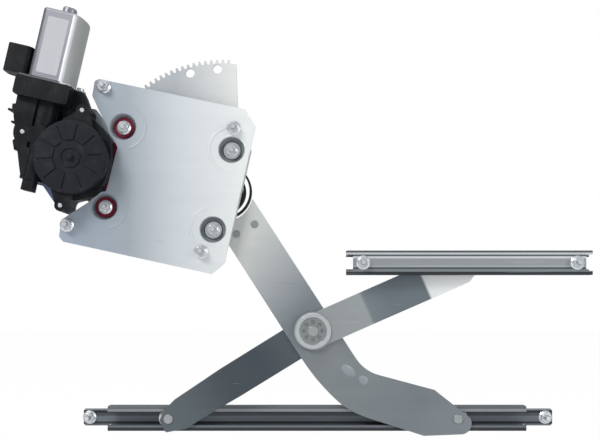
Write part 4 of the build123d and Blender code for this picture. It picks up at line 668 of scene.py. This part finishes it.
# %% Where each solid belongs
bodies = frame["record"]["behaviour"]["bodies"]
body_of = {n: body for body, members in bodies.items() for n in members}
print("bodies:", len(bodies), "solids with a body:", len(body_of))

# %% Plain meshes with clean shading
FACE_WEIGHT = 100


def plain_mesh(obj, name):
    """The object with its modifiers worked in, as a new plain mesh."""
    graph = bpy.context.evaluated_depsgraph_get()
    mesh = bpy.data.meshes.new_from_object(obj.evaluated_get(graph))
    mesh.name = name
    return mesh


def flat_shaded(obj, sharp=50.0):
    """Smooth shading that breaks at real edges and leaves flat faces flat."""
    for p in obj.data.polygons:
        p.use_smooth = True
    obj.data.set_sharp_from_angle(angle=math.radians(sharp))
    flat = obj.modifiers.new("flat_faces_stay_flat", "WEIGHTED_NORMAL")
    flat.weight = FACE_WEIGHT
    flat.keep_sharp = True
    obj.data = plain_mesh(obj, obj.name)
    obj.modifiers.clear()


# %% A merged copy of a solid
MERGE_WITHIN = 2e-6
FLAT_WITHIN = 0.6


def merged_copy(cad_name, dissolve=True):
    """A copy of a solid's mesh, its loose triangles joined and its stored normals left out."""
    mesh = nodes[cad_name].data.copy()
    mesh.materials.clear()
    if "custom_normal" in mesh.attributes:
        mesh.attributes.remove(mesh.attributes["custom_normal"])
    bm = bmesh.new()
    bm.from_mesh(mesh)
    bmesh.ops.remove_doubles(bm, verts=bm.verts, dist=MERGE_WITHIN)
    if dissolve:
        bmesh.ops.dissolve_limit(bm, angle_limit=math.radians(FLAT_WITHIN), verts=bm.verts,
                                 edges=bm.edges)
    bm.to_mesh(mesh)
    bm.free()
    return mesh


# %% Dressing
ROUND_SEGMENTS = 2
ROUND_FROM = 28.0


def dress(cad_name, material, round_mm, change=None):
    """A softened copy of a solid, in its finish, riding on its body in the solid's place."""
    mesh = merged_copy(cad_name, dissolve=bool(round_mm))
    if change:
        change(mesh)
    obj = bpy.data.objects.new(f"{cad_name}_dressed", mesh)
    scene.collection.objects.link(obj)
    if round_mm:
        mod = obj.modifiers.new("soft_edges", "BEVEL")
        mod.width = round_mm * MM
        mod.segments = ROUND_SEGMENTS
        mod.limit_method = "ANGLE"
        mod.angle_limit = math.radians(ROUND_FROM)
        mod.use_clamp_overlap = True
        obj.data = plain_mesh(obj, cad_name)
        obj.modifiers.clear()
    flat_shaded(obj)
    obj.data.materials.clear()
    obj.data.materials.append(material)
    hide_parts(cad_name)
    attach(obj, body_of[cad_name])
    return obj


def dress_all(finishes):
    """Dresses each named solid with its finish and its rounding in mm."""
    faces = 0
    for cad_name, (material, round_mm) in finishes.items():
        faces += len(dress(cad_name, material, round_mm).data.polygons)
    print("dressed:", len(finishes), "faces:", faces)


# %% [markdown]
# ## Plate, brackets and isolators
# The mounting plate is one pressing with four dished seats. The two right-hand dishes hold the
# pivot bracket, the two left-hand ones hold the motor bracket through maroon rubber grommets, so
# that the motor's hum stays off the door.

# %% Plate, brackets and isolators
dress_all({
    "mounting_plate": (zinc_plate, 0.4),
    "pivot_bracket": (zinc_sector, 0.3),
    "pivot_pin": (bright_steel, 0.2),
    "pivot_ring": (spring_steel, 0.1),
    "pivot_washers": (zinc_fastener, 0.2),
    "isolator_grommets": (maroon_rubber, 0.2),
    "motor_bracket": (zinc_bracket, 0.3),
    "isolation_pad": (maroon_rubber, 0.5),
})

# %% [markdown]
# ## Sector, spring and arms
# The sector gear, the counterbalance spring and the lift arm turn together on the pivot pin. The
# equalizer is two pressed halves, one on each side of the lift arm, held by one large hollow
# rivet.

# %% Sector, spring and arms
dress_all({
    "sector_gear": (zinc_sector, 0.0),
    "sector_rivets": (bright_steel, 0.2),
    "pivot_hub": (bright_steel, 0.15),
    "spring_post": (bright_steel, 0.2),
    "counterbalance_spring": (spring_steel, 0.2),
    "lift_arm": (zinc_lift_arm, 0.3),
    "equalizer_upper_half": (zinc_upper_half, 0.3),
    "equalizer_lower_half": (zinc_lower_half, 0.3),
    "hub_rivet": (hub_steel, 0.3),
})

# %% [markdown]
# ## Channels and rollers
# Both channels are rolled C sections. White acetal rollers run inside them on riveted pins.

# %% Channels and rollers
dress_all({
    "glass_channel": (zinc_glass_channel, 0.3),
    "guide_channel": (zinc_guide_channel, 0.3),
    "lift_roller": (white_acetal, 0.2),
    "equalizer_roller": (white_acetal, 0.2),
    "guide_roller": (white_acetal, 0.2),
    "lift_roller_pin": (bright_steel, 0.2),
    "equalizer_roller_pin": (bright_steel, 0.2),
    "guide_roller_pin": (bright_steel, 0.2),
})

# %% [markdown]
# ## Gearbox and motor
# The housing and its cover are moulded in glass-filled nylon, which is nearly black and only
# shows its ribs where light grazes them.

# %% Gearbox and motor
dress_all({
    "gearbox_housing": (black_nylon, 0.5),
    "gear_cover": (cover_nylon, 0.3),
    "gearbox_bolts": (zinc_fastener, 0.2),
    "motor_flange": (zinc_can, 0.2),
    "motor_screws": (zinc_fastener, 0.2),
    "connector_shell": (black_nylon, 0.4),
    "output_pinion": (bright_steel, 0.15),
})

# %% [markdown]
# The can is drawn from sheet into a cup. Its front is flat, with a narrow bright bevel on the right,
# and its sides are curved, so the outline is listed and lofted: the same ring of points at several
# heights, with smaller rings at the top for the rounded shoulder. A loft keeps the bevel crisp,
# which rounding the solid would not.

# %% Lofts
def ring_loft(name, rings):
    """Skins equal rings of points, one after the other, and caps both ends."""
    bm = bmesh.new()
    laid = [[bm.verts.new(p) for p in ring] for ring in rings]
    count = len(rings[0])
    for low_ring, high_ring in zip(laid, laid[1:]):
        for i in range(count):
            j = (i + 1) % count
            bm.faces.new((low_ring[i], low_ring[j], high_ring[j], high_ring[i]))
    bm.faces.new(list(reversed(laid[0])))
    bm.faces.new(laid[-1])
    bmesh.ops.recalc_face_normals(bm, faces=bm.faces)
    mesh = bpy.data.meshes.new(name)
    bm.to_mesh(mesh)
    bm.free()
    obj = bpy.data.objects.new(name, mesh)
    scene.collection.objects.link(obj)
    return obj


SHARPEST_SHARE = 0.5


def inset(outline, by):
    """The outline moved inwards by a distance, and a sharp corner by twice that at most."""
    out = []
    count = len(outline)
    for i, here in enumerate(outline):
        before = Vector(outline[i - 1])
        after = Vector(outline[(i + 1) % count])
        here = Vector(here)
        a = (here - before).normalized()
        b = (after - here).normalized()
        inward = (Vector((-a.y, a.x)) + Vector((-b.y, b.x))).normalized()
        share = max(SHARPEST_SHARE, inward.dot(Vector((-a.y, a.x))))
        out.append(tuple(here + inward * (by / share)))
    return out


# %% Motor can
OUTPUT_AXIS = (-75.717, 8.102)
PLATE_U = (math.cos(math.radians(PLATE_TURN)), -math.sin(math.radians(PLATE_TURN)))
PLATE_W = (-PLATE_U[1], PLATE_U[0])


def along_plate(start, u, w, y=0.0):
    """A point counted from a start along the plate's own directions, in metres."""
    x = start[0] + u * PLATE_U[0] + w * PLATE_W[0]
    z = start[1] + u * PLATE_U[1] + w * PLATE_W[1]
    return (x * MM, y * MM, z * MM)


def by_gearbox(u, w, y):
    """A point counted from the output shaft."""
    return along_plate(OUTPUT_AXIS, u, w, y)


CAN_U = -36.9
CAN_Y = -9.0
CAN_FOOT = 67.9
CAN_TALL = 67.5
CAN_WALL = 1.8
CAN_SHARP = 24.0
CAN_OUTLINE = [
    (-15.2, -28.0), (12.0, -28.0), (14.9, -25.4), (17.3, -20.8), (19.0, -15.0), (19.9, -8.5),
    (19.9, -2.0), (18.8, 3.2), (16.2, 7.2), (12.6, 9.6), (8.0, 10.2), (-8.0, 10.2), (-12.6, 9.6),
    (-16.2, 7.2), (-18.8, 3.2), (-19.9, -2.0), (-19.9, -16.5), (-19.2, -22.4), (-17.6, -26.4),
]
CROWN_STEPS = [(0.0, 2.6), (0.25, 1.6), (0.9, 0.7), (1.9, 0.15), (2.8, 0.0)]


def can_ring(by, w):
    """The can's outline at a height, drawn in by a distance."""
    return [by_gearbox(CAN_U + u, w, y) for u, y in inset(CAN_OUTLINE, by)]


top = CAN_FOOT + CAN_TALL
can_rings = [can_ring(CAN_WALL, top - CAN_WALL), can_ring(CAN_WALL, CAN_FOOT),
             can_ring(0.0, CAN_FOOT)]
can_rings += [can_ring(by, top - down) for by, down in CROWN_STEPS]
motor_can = ring_loft("motor_can_drawn", can_rings)
flat_shaded(motor_can, CAN_SHARP)
motor_can.data.materials.append(zinc_can)
print("motor can faces:", len(motor_can.data.polygons))
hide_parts("motor_can")
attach(motor_can, body_of["motor_can"])

# %% [markdown]
# The bearing at the can's far end sits in a small drawn boss. It is a turned shape, so it is
# lofted from circles whose radius follows a short profile. The profile starts a little inside the
# can, so that no gap shows.

# %% End boss
BOSS_PROFILE = [(6.9, -1.0), (6.9, 6.4), (6.6, 7.6), (5.9, 8.5), (4.8, 8.9), (1.6, 8.9)]
ROUND_STEPS = 40


def can_circle(radius, w):
    """A circle about the can's axis at a height."""
    turns = [2 * math.pi * i / ROUND_STEPS for i in range(ROUND_STEPS)]
    return [by_gearbox(CAN_U + radius * math.cos(t), w, CAN_Y - radius * math.sin(t)) for t in turns]


end_boss = ring_loft("motor_end_boss", [can_circle(r, top + rise) for r, rise in BOSS_PROFILE])
flat_shaded(end_boss)
end_boss.data.materials.append(zinc_can)
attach(end_boss, body_of["motor_can"])
print("end boss faces:", len(end_boss.data.polygons))

# %% [markdown]
# The can carries a paper label, left blank here. It is a thin sheet with rounded corners, lofted
# forwards from the can's flat front. The connector's pale stiffening rib and the small web beside
# the worm tube are pads of the same kind, only smaller.

# %% Pads with rounded corners
CORNER_STEPS = 4


def rounded_rect(u_low, u_high, w_low, w_high, radius):
    """Corner points of a rounded rectangle, anticlockwise."""
    out = []
    corners = [(u_high - radius, w_high - radius, 0), (u_low + radius, w_high - radius, 90),
               (u_low + radius, w_low + radius, 180), (u_high - radius, w_low + radius, 270)]
    for u, w, start in corners:
        for i in range(CORNER_STEPS + 1):
            turn = math.radians(start + 90 * i / CORNER_STEPS)
            out.append((u + radius * math.cos(turn), w + radius * math.sin(turn)))
    return out


def raised_pad(name, outline, y_back, y_front, soft, material, cad_name):
    """A pad that stands forwards from the surface it lies on, with a softened front edge."""
    rings = [
        [by_gearbox(u, w, y_back) for u, w in outline],
        [by_gearbox(u, w, y_front + soft) for u, w in outline],
        [by_gearbox(u, w, y_front) for u, w in inset(outline, soft)],
    ]
    pad = ring_loft(name, rings)
    flat_shaded(pad)
    pad.data.materials.append(material)
    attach(pad, body_of[cad_name])
    return pad


# %% Blank label, connector rib and gearbox web
CAN_FRONT = min(y for _, y in CAN_OUTLINE)
PADS = {
    # left, right, low, high and corner; back, front, soft edge; finish, and the solid it lies on
    "motor_label": ((CAN_U - 11.5, CAN_U + 9.2, 72.0, 127.0, 1.6),
                    CAN_FRONT + 0.3, CAN_FRONT - 0.2, 0.08, label_paper, "motor_can"),
    "connector_rib": ((-77.4, -71.2, 68.5, 94.0, 1.2),
                      -13.0, -14.8, 0.5, dusty_nylon, "connector_shell"),
    "gearbox_web": ((-25.0, -16.5, 41.0, 49.0, 1.5),
                    0.0, -4.0, 0.4, black_nylon, "gearbox_housing"),
}
for name, (corners, y_back, y_front, soft, material, cad_name) in PADS.items():
    pad = raised_pad(name, rounded_rect(*corners), y_back, y_front, soft, material, cad_name)
    print(name, "faces:", len(pad.data.polygons))

# %% [markdown]
# ## Nuts
# A flange nut is a chamfered hexagon on a washer-like flange. There are twelve, all alike but
# each stopped at another angle, so they are grown by Geometry Nodes: the tree makes one nut, cuts
# its corners with a cone, and sets a copy on every point it is given, turned by a seeded random
# angle. The points are the middles of the solids' own nuts.

# %% Where the solids' own nuts and studs stand
def loose_parts(cad_name):
    """Each separate part of a solid: its middle in x and z, its lowest and highest y, in metres."""
    mesh = merged_copy(cad_name, dissolve=False)
    near = [[] for _ in mesh.vertices]
    for edge in mesh.edges:
        a, b = edge.vertices
        near[a].append(b)
        near[b].append(a)
    seen = set()
    out = []
    for first in range(len(mesh.vertices)):
        if first in seen:
            continue
        seen.add(first)
        part = [first]
        for i in part:
            fresh = [j for j in near[i] if j not in seen]
            seen.update(fresh)
            part.extend(fresh)
        places = [mesh.vertices[i].co for i in part]
        xs = [p.x for p in places]
        ys = [p.y for p in places]
        zs = [p.z for p in places]
        out.append(((min(xs) + max(xs)) / 2, (min(zs) + max(zs)) / 2, min(ys), max(ys)))
    bpy.data.meshes.remove(mesh)
    return out


print("nuts on the plate's door studs:", len(loose_parts("door_stud_nuts")))

# %% Geometry Nodes helpers
GEOMETRY, MATERIAL = "NodeSocketGeometry", "NodeSocketMaterial"
TIPPED_FORWARDS = (math.pi / 2, 0, 0)


def geo_tree(name, inputs):
    """A tree that takes points, some sizes and a material."""
    tree = bpy.data.node_groups.new(name, "GeometryNodeTree")
    kinds = {"Geometry": GEOMETRY, **{label: FLOAT for label in inputs}, "Material": MATERIAL}
    for label, kind in kinds.items():
        tree.interface.new_socket(label, in_out="INPUT", socket_type=kind)
    tree.interface.new_socket("Geometry", in_out="OUTPUT", socket_type=GEOMETRY)
    return tree, tree.nodes.new("NodeGroupInput").outputs, tree.nodes.new("NodeGroupOutput").inputs


def standing(tree, mesh, shift_z):
    """Lifts a mesh along its own axis."""
    shift = add_node(tree, "ShaderNodeCombineXYZ", {"Z": shift_z})
    return add_node(tree, "GeometryNodeTransform",
                    {"Geometry": mesh, "Translation": shift.outputs[0]}).outputs[0]


def end_tree(tree, group_in, group_out, piece, turn=None):
    """Tips a piece towards the camera, sets it on every point and gives it its material."""
    forwards = add_node(tree, "GeometryNodeTransform",
                        {"Geometry": piece, "Rotation": TIPPED_FORWARDS})
    sockets = {"Points": group_in["Geometry"], "Instance": forwards.outputs[0]}
    if turn is not None:
        sockets["Rotation"] = turn
    placed = add_node(tree, "GeometryNodeInstanceOnPoints", sockets)
    real = add_node(tree, "GeometryNodeRealizeInstances", {"Geometry": placed.outputs[0]})
    done = add_node(tree, "GeometryNodeSetMaterial",
                    {"Geometry": real.outputs[0], "Material": group_in["Material"]})
    tree.links.new(done.outputs[0], group_out[0])
    print(tree.name, "nodes:", len(tree.nodes))


def grown(name, points, tree, values):
    """Runs a tree on a few points and keeps what it makes as a plain mesh."""
    obj = mesh_object(name, points, [])
    mod = obj.modifiers.new("grow", "NODES")
    mod.node_group = tree
    for item in tree.interface.items_tree:
        if item.in_out == "INPUT" and item.name in values:
            mod[item.identifier] = values[item.name]
    mesh = plain_mesh(obj, name)
    obj.modifiers.clear()
    obj.data = mesh
    return obj


# %% The flange nut's tree: its chamfered hexagon
CORNER_SHARE = 1 / math.sqrt(3)
CROWN_SHARE = 0.47
CHAMFER_RUN = 1.73
ROUND_CORNERS = 48

nut_tree, n_in, n_out = geo_tree(
    "flange_nut", ["Across Flats", "Height", "Flange Radius", "Flange Thickness", "Bore Radius"])
nut_tree.interface.new_socket("Seed", in_out="INPUT", socket_type="NodeSocketInt")
flats = n_in["Across Flats"]
tall = n_in["Height"]


def times(value, factor):
    """One of the nut's sizes, multiplied in its tree."""
    return math_node(nut_tree, "MULTIPLY", value, factor)


hexagon = add_node(nut_tree, "GeometryNodeMeshCylinder", {
    "Vertices": 6, "Radius": times(flats, CORNER_SHARE), "Depth": tall})
hexagon = standing(nut_tree, hexagon.outputs[0], times(tall, 0.5))
crown_r = times(flats, CROWN_SHARE)
cutter = add_node(nut_tree, "GeometryNodeMeshCone", {
    "Vertices": ROUND_CORNERS, "Radius Top": crown_r,
    "Radius Bottom": math_node(nut_tree, "MULTIPLY_ADD", tall, CHAMFER_RUN, crown_r), "Depth": tall})
chamfered = add_node(nut_tree, "GeometryNodeMeshBoolean", operation="INTERSECT", solver="EXACT")
for piece in (hexagon, cutter.outputs[0]):
    nut_tree.links.new(piece, chamfered.inputs[1])

# %% The nut's flange and bore, and its place on each point
FLANGE_SLOPE = 1.2
SLOPE_LIFT = 0.48
BORE_CORNERS = 24

thin = n_in["Flange Thickness"]
rim = add_node(nut_tree, "GeometryNodeMeshCylinder", {
    "Vertices": ROUND_CORNERS, "Radius": n_in["Flange Radius"], "Depth": times(thin, 0.5)})
rim = standing(nut_tree, rim.outputs[0], times(thin, 0.25))
slope = add_node(nut_tree, "GeometryNodeMeshCone", {
    "Vertices": ROUND_CORNERS, "Radius Top": times(flats, 0.5),
    "Radius Bottom": n_in["Flange Radius"], "Depth": times(thin, FLANGE_SLOPE)})
slope = standing(nut_tree, slope.outputs[0], times(thin, SLOPE_LIFT))
whole_nut = add_node(nut_tree, "GeometryNodeMeshBoolean", operation="UNION", solver="EXACT")
for piece in (chamfered.outputs[0], rim, slope):
    nut_tree.links.new(piece, whole_nut.inputs[1])
drill = add_node(nut_tree, "GeometryNodeMeshCylinder", {
    "Vertices": BORE_CORNERS, "Radius": n_in["Bore Radius"], "Depth": times(tall, 4.0)})
bored = add_node(nut_tree, "GeometryNodeMeshBoolean", {0: whole_nut.outputs[0]},
                 operation="DIFFERENCE", solver="EXACT")
nut_tree.links.new(drill.outputs[0], bored.inputs[1])
spin = add_node(nut_tree, "FunctionNodeRandomValue", {3: math.radians(60), 8: n_in["Seed"]},
                data_type="FLOAT")
about_y = add_node(nut_tree, "ShaderNodeCombineXYZ", {"Y": spin.outputs[1]})
turned = add_node(nut_tree, "FunctionNodeEulerToRotation", {0: about_y.outputs[0]})
end_tree(nut_tree, n_in, n_out, bored.outputs[0], turned.outputs[0])

# %% Nuts on the plate, the brackets and the channels
NUT_SIZES = {"Across Flats": 10.0 * MM, "Height": 6.0 * MM, "Flange Radius": 7.1 * MM,
             "Flange Thickness": 1.4 * MM, "Bore Radius": 2.75 * MM}
NUT_SETS = {
    # the solids whose nuts they are, and the seed of their turns
    "plate_nuts": (["door_stud_nuts", "pivot_bracket_nuts", "motor_bracket_nuts"], 3),
    "glass_nuts": (["glass_channel_nuts"], 5),
    "guide_nuts": (["guide_channel_nuts"], 8),
}
NUT_SHARP = 20.0

for name, (cad_names, seed) in NUT_SETS.items():
    parts = [part for cad_name in cad_names for part in loose_parts(cad_name)]
    seats = [(x, y_high, z) for x, z, _, y_high in parts]
    nuts = grown(name, seats, nut_tree, {**NUT_SIZES, "Seed": seed, "Material": zinc_fastener})
    flat_shaded(nuts, NUT_SHARP)
    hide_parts(*cad_names)
    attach(nuts, body_of[cad_names[0]])
    print(name, "nuts:", len(seats), "faces:", len(nuts.data.polygons))

# %% [markdown]
# ## Threads
# A stud's free end is a screw thread. The solid has a plain rod there, so the copy is made
# slimmer in that stretch, and a ridge is wound round it: a Spiral curve with a small four-sided
# profile. Each stud that ends at the same depth shares one run of the tree.

# %% The thread's tree
STEPS_PER_TURN = 20

thread_tree, t_in, t_out = geo_tree("stud_thread", ["Radius", "Ridge", "Pitch", "Length"])
ridge_r = math_node(thread_tree, "SUBTRACT", t_in["Radius"], t_in["Ridge"])
helix = add_node(thread_tree, "GeometryNodeCurveSpiral", {
    "Resolution": STEPS_PER_TURN, "Start Radius": ridge_r, "End Radius": ridge_r,
    "Rotations": math_node(thread_tree, "DIVIDE", t_in["Length"], t_in["Pitch"]),
    "Height": t_in["Length"]})
diamond = add_node(thread_tree, "GeometryNodeCurvePrimitiveCircle",
                   {"Resolution": 4, "Radius": t_in["Ridge"]})
wound = add_node(thread_tree, "GeometryNodeCurveToMesh", {
    "Curve": helix.outputs[0], "Profile Curve": diamond.outputs[0], "Fill Caps": True})
end_tree(thread_tree, t_in, t_out, wound.outputs[0])

# %% Slimmer free ends
THREAD_R = 3.0 * MM
CORE_R = 2.6 * MM
OUT_SLACK = 0.1 * MM
DEPTH_SLACK = 0.01 * MM


def slim_free_ends(mesh, crowns):
    """Draws the studs in to the thread's core, in front of their nuts."""
    for v in mesh.vertices:
        for x, z, crown, _ in crowns:
            reach = math.hypot(v.co.x - x, v.co.z - z)
            if CORE_R < reach < THREAD_R + OUT_SLACK and v.co.y < crown + DEPTH_SLACK:
                v.co.x = x + (v.co.x - x) * CORE_R / reach
                v.co.z = z + (v.co.z - z) * CORE_R / reach


# %% Studs with threads
RIDGE = 0.3 * MM
PITCH = 1.0 * MM
POINT = 0.6 * MM
SHORTEST_THREAD = 0.5 * MM
STUD_SETS = {
    "door_studs": ["door_stud_nuts"],
    "bracket_studs": ["pivot_bracket_nuts", "motor_bracket_nuts"],
    "glass_channel_studs": ["glass_channel_nuts"],
    "guide_channel_studs": ["guide_channel_nuts"],
}
for cad_name, nut_names in STUD_SETS.items():
    crowns = [part for nut_name in nut_names for part in loose_parts(nut_name)]
    dress(cad_name, zinc_fastener, 0.0, change=lambda mesh: slim_free_ends(mesh, crowns))
    runs = {}
    for x, z, tip, _ in loose_parts(cad_name):
        crown = min(crowns, key=lambda part: math.hypot(part[0] - x, part[1] - z))[2]
        runs.setdefault(round(crown - tip, 5), []).append((x, crown, z))
    for free, spots in runs.items():
        length = free - POINT - RIDGE
        if length < SHORTEST_THREAD:
            continue
        thread = grown(f"{cad_name}_thread_{round(free * 10000)}", spots, thread_tree, {
            "Radius": THREAD_R, "Ridge": RIDGE, "Pitch": PITCH, "Length": length,
            "Material": zinc_fastener})
        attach(thread, body_of[cad_name])
        print(thread.name, "studs:", len(spots), "free mm:", round(free / MM, 2))

# %% [markdown]
# ## Pressed details
# Round each dish, the press left a faint raised arc in the plate. All four share a radius, and each
# pair its start and its run, so a small tree draws one with an Arc curve and sets it on a pair of
# dishes.

# %% The pressed arc's tree
ARC_STEPS = 48
BEAD_CORNERS = 12

arc_tree, a_in, a_out = geo_tree("pressed_arc", ["Radius", "Start", "Sweep", "Half Width", "Rise"])
arc = add_node(arc_tree, "GeometryNodeCurveArc", {
    "Resolution": ARC_STEPS, "Radius": a_in["Radius"], "Start Angle": a_in["Start"],
    "Sweep Angle": a_in["Sweep"]})
bead = add_node(arc_tree, "GeometryNodeCurvePrimitiveCircle",
                {"Resolution": BEAD_CORNERS, "Radius": a_in["Half Width"]})
drawn_arc = add_node(arc_tree, "GeometryNodeCurveToMesh", {
    "Curve": arc.outputs[0], "Profile Curve": bead.outputs[0], "Fill Caps": True})
low_share = math_node(arc_tree, "DIVIDE", a_in["Rise"], a_in["Half Width"])
low_scale = add_node(arc_tree, "ShaderNodeCombineXYZ", {"X": 1.0, "Y": 1.0, "Z": low_share})
lowered = add_node(arc_tree, "GeometryNodeTransform", {
    "Geometry": drawn_arc.outputs[0], "Scale": low_scale.outputs[0]})
end_tree(arc_tree, a_in, a_out, lowered.outputs[0])

# %% Pressed arcs round the dishes
ARC_SIZES = {"Radius": 22.5 * MM, "Half Width": 1.5 * MM, "Rise": 0.16 * MM}
ARCS = {
    # middles along the plate's own directions, then the arc's start and its run in degrees
    "pivot_dish_arcs": ([(1.2, 41.0), (1.2, -41.0)], 105, 140),
    "motor_dish_arcs": ([(-109.7, 38.6), (-109.7, -43.4)], -75, 130),
}

for name, (spots, start, sweep) in ARCS.items():
    arcs = grown(name, [along_plate(PIVOT, u, w) for u, w in spots], arc_tree, {
        **ARC_SIZES, "Start": math.radians(start), "Sweep": math.radians(sweep),
        "Material": zinc_plate})
    flat_shaded(arcs)
    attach(arcs, body_of["mounting_plate"])
    print(name, "faces:", len(arcs.data.polygons))

# %% [markdown]
# The lift arm's bent end has two pressed bulges that stiffen it. Each is a low oval dome. It has
# to lie on the arm's own surface, so a ray is sent from the front to find where that surface is,
# and rays beside it tell how it leans.

# %% The front of a solid
IN_FRONT = -0.2
PROBE_STEP = 3 * MM


def front_plane(cad_name, x, z):
    """Where a solid's front lies behind the point (x, z), and how it leans along x and z."""
    bm = bmesh.new()
    bm.from_mesh(nodes[cad_name].data)
    surface = BVHTree.FromBMesh(bm)
    bm.free()

    def front(at_x, at_z):
        return surface.ray_cast(Vector((at_x, IN_FRONT, at_z)), Vector((0, 1, 0)))[0].y

    lean_x = (front(x + PROBE_STEP, z) - front(x - PROBE_STEP, z)) / (2 * PROBE_STEP)
    lean_z = (front(x, z + PROBE_STEP) - front(x, z - PROBE_STEP)) / (2 * PROBE_STEP)
    return front(x, z), lean_x, lean_z


# %% Bulges on the lift arm
SUNK = 0.3
BULGE_TURN = -38
BULGE_RISE = 0.9
BULGE_RINGS, BULGE_STEPS = 5, 32
BULGES = {
    # middle, half its length and half its width, in mm
    "lift_arm_bulge_upper": ((197.0, -203.5), 9.0, 5.0),
    "lift_arm_bulge_lower": ((213.5, -214.5), 8.0, 4.6),
}


def dome_rings(middle, half_long, half_wide):
    """The rings of a low oval dome on the lift arm's front, from its rim to its top."""
    x, z = middle[0] * MM, middle[1] * MM
    depth, lean_x, lean_z = front_plane("lift_arm", x, z)
    along = Vector((math.cos(math.radians(BULGE_TURN)), math.sin(math.radians(BULGE_TURN))))
    across = Vector((-along.y, along.x))
    rings = []
    for k in range(BULGE_RINGS):
        climb = k / BULGE_RINGS * math.pi / 2
        ring = []
        for i in range(BULGE_STEPS):
            t = -2 * math.pi * i / BULGE_STEPS
            off = along * (half_long * math.cos(t)) + across * (half_wide * math.sin(t))
            off *= math.cos(climb) * MM
            base = depth + lean_x * off.x + lean_z * off.y
            raised = SUNK * MM - (BULGE_RISE + SUNK) * math.sin(climb) * MM
            ring.append((x + off.x, base + raised, z + off.y))
        rings.append(ring)
    return rings


for name, (middle, half_long, half_wide) in BULGES.items():
    dome = ring_loft(name, dome_rings(middle, half_long, half_wide))
    flat_shaded(dome)
    dome.data.materials.append(zinc_bulge)
    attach(dome, body_of["lift_arm"])
    print(name, "faces:", len(dome.data.polygons))

# %% [markdown]
# ## Pieces that stay as the solids made them
# What lies inside the housings is hardly ever seen, and its solids already have the right shape.
# They only get a finish, by filling their material slots.

# %% Finishes for the inner solids
INNER = {
    "output_bush": bronze,
    "worm_wheel": white_acetal,
    "field_magnets": ferrite_black,
    "rear_bearing": bronze,
    "brush_holder": black_nylon,
    "brushes": ferrite_black,
    "worm_end_bearing": bronze,
    "connector_blades": contact_brass,
    "armature_shaft": bright_steel,
    "armature_core": bright_steel,
    "armature_windings": copper,
    "commutator": copper,
}
for cad_name, material in INNER.items():
    mesh = nodes[cad_name].data
    mesh.materials.clear()
    mesh.materials.append(material)
print("inner solids:", len(INNER))
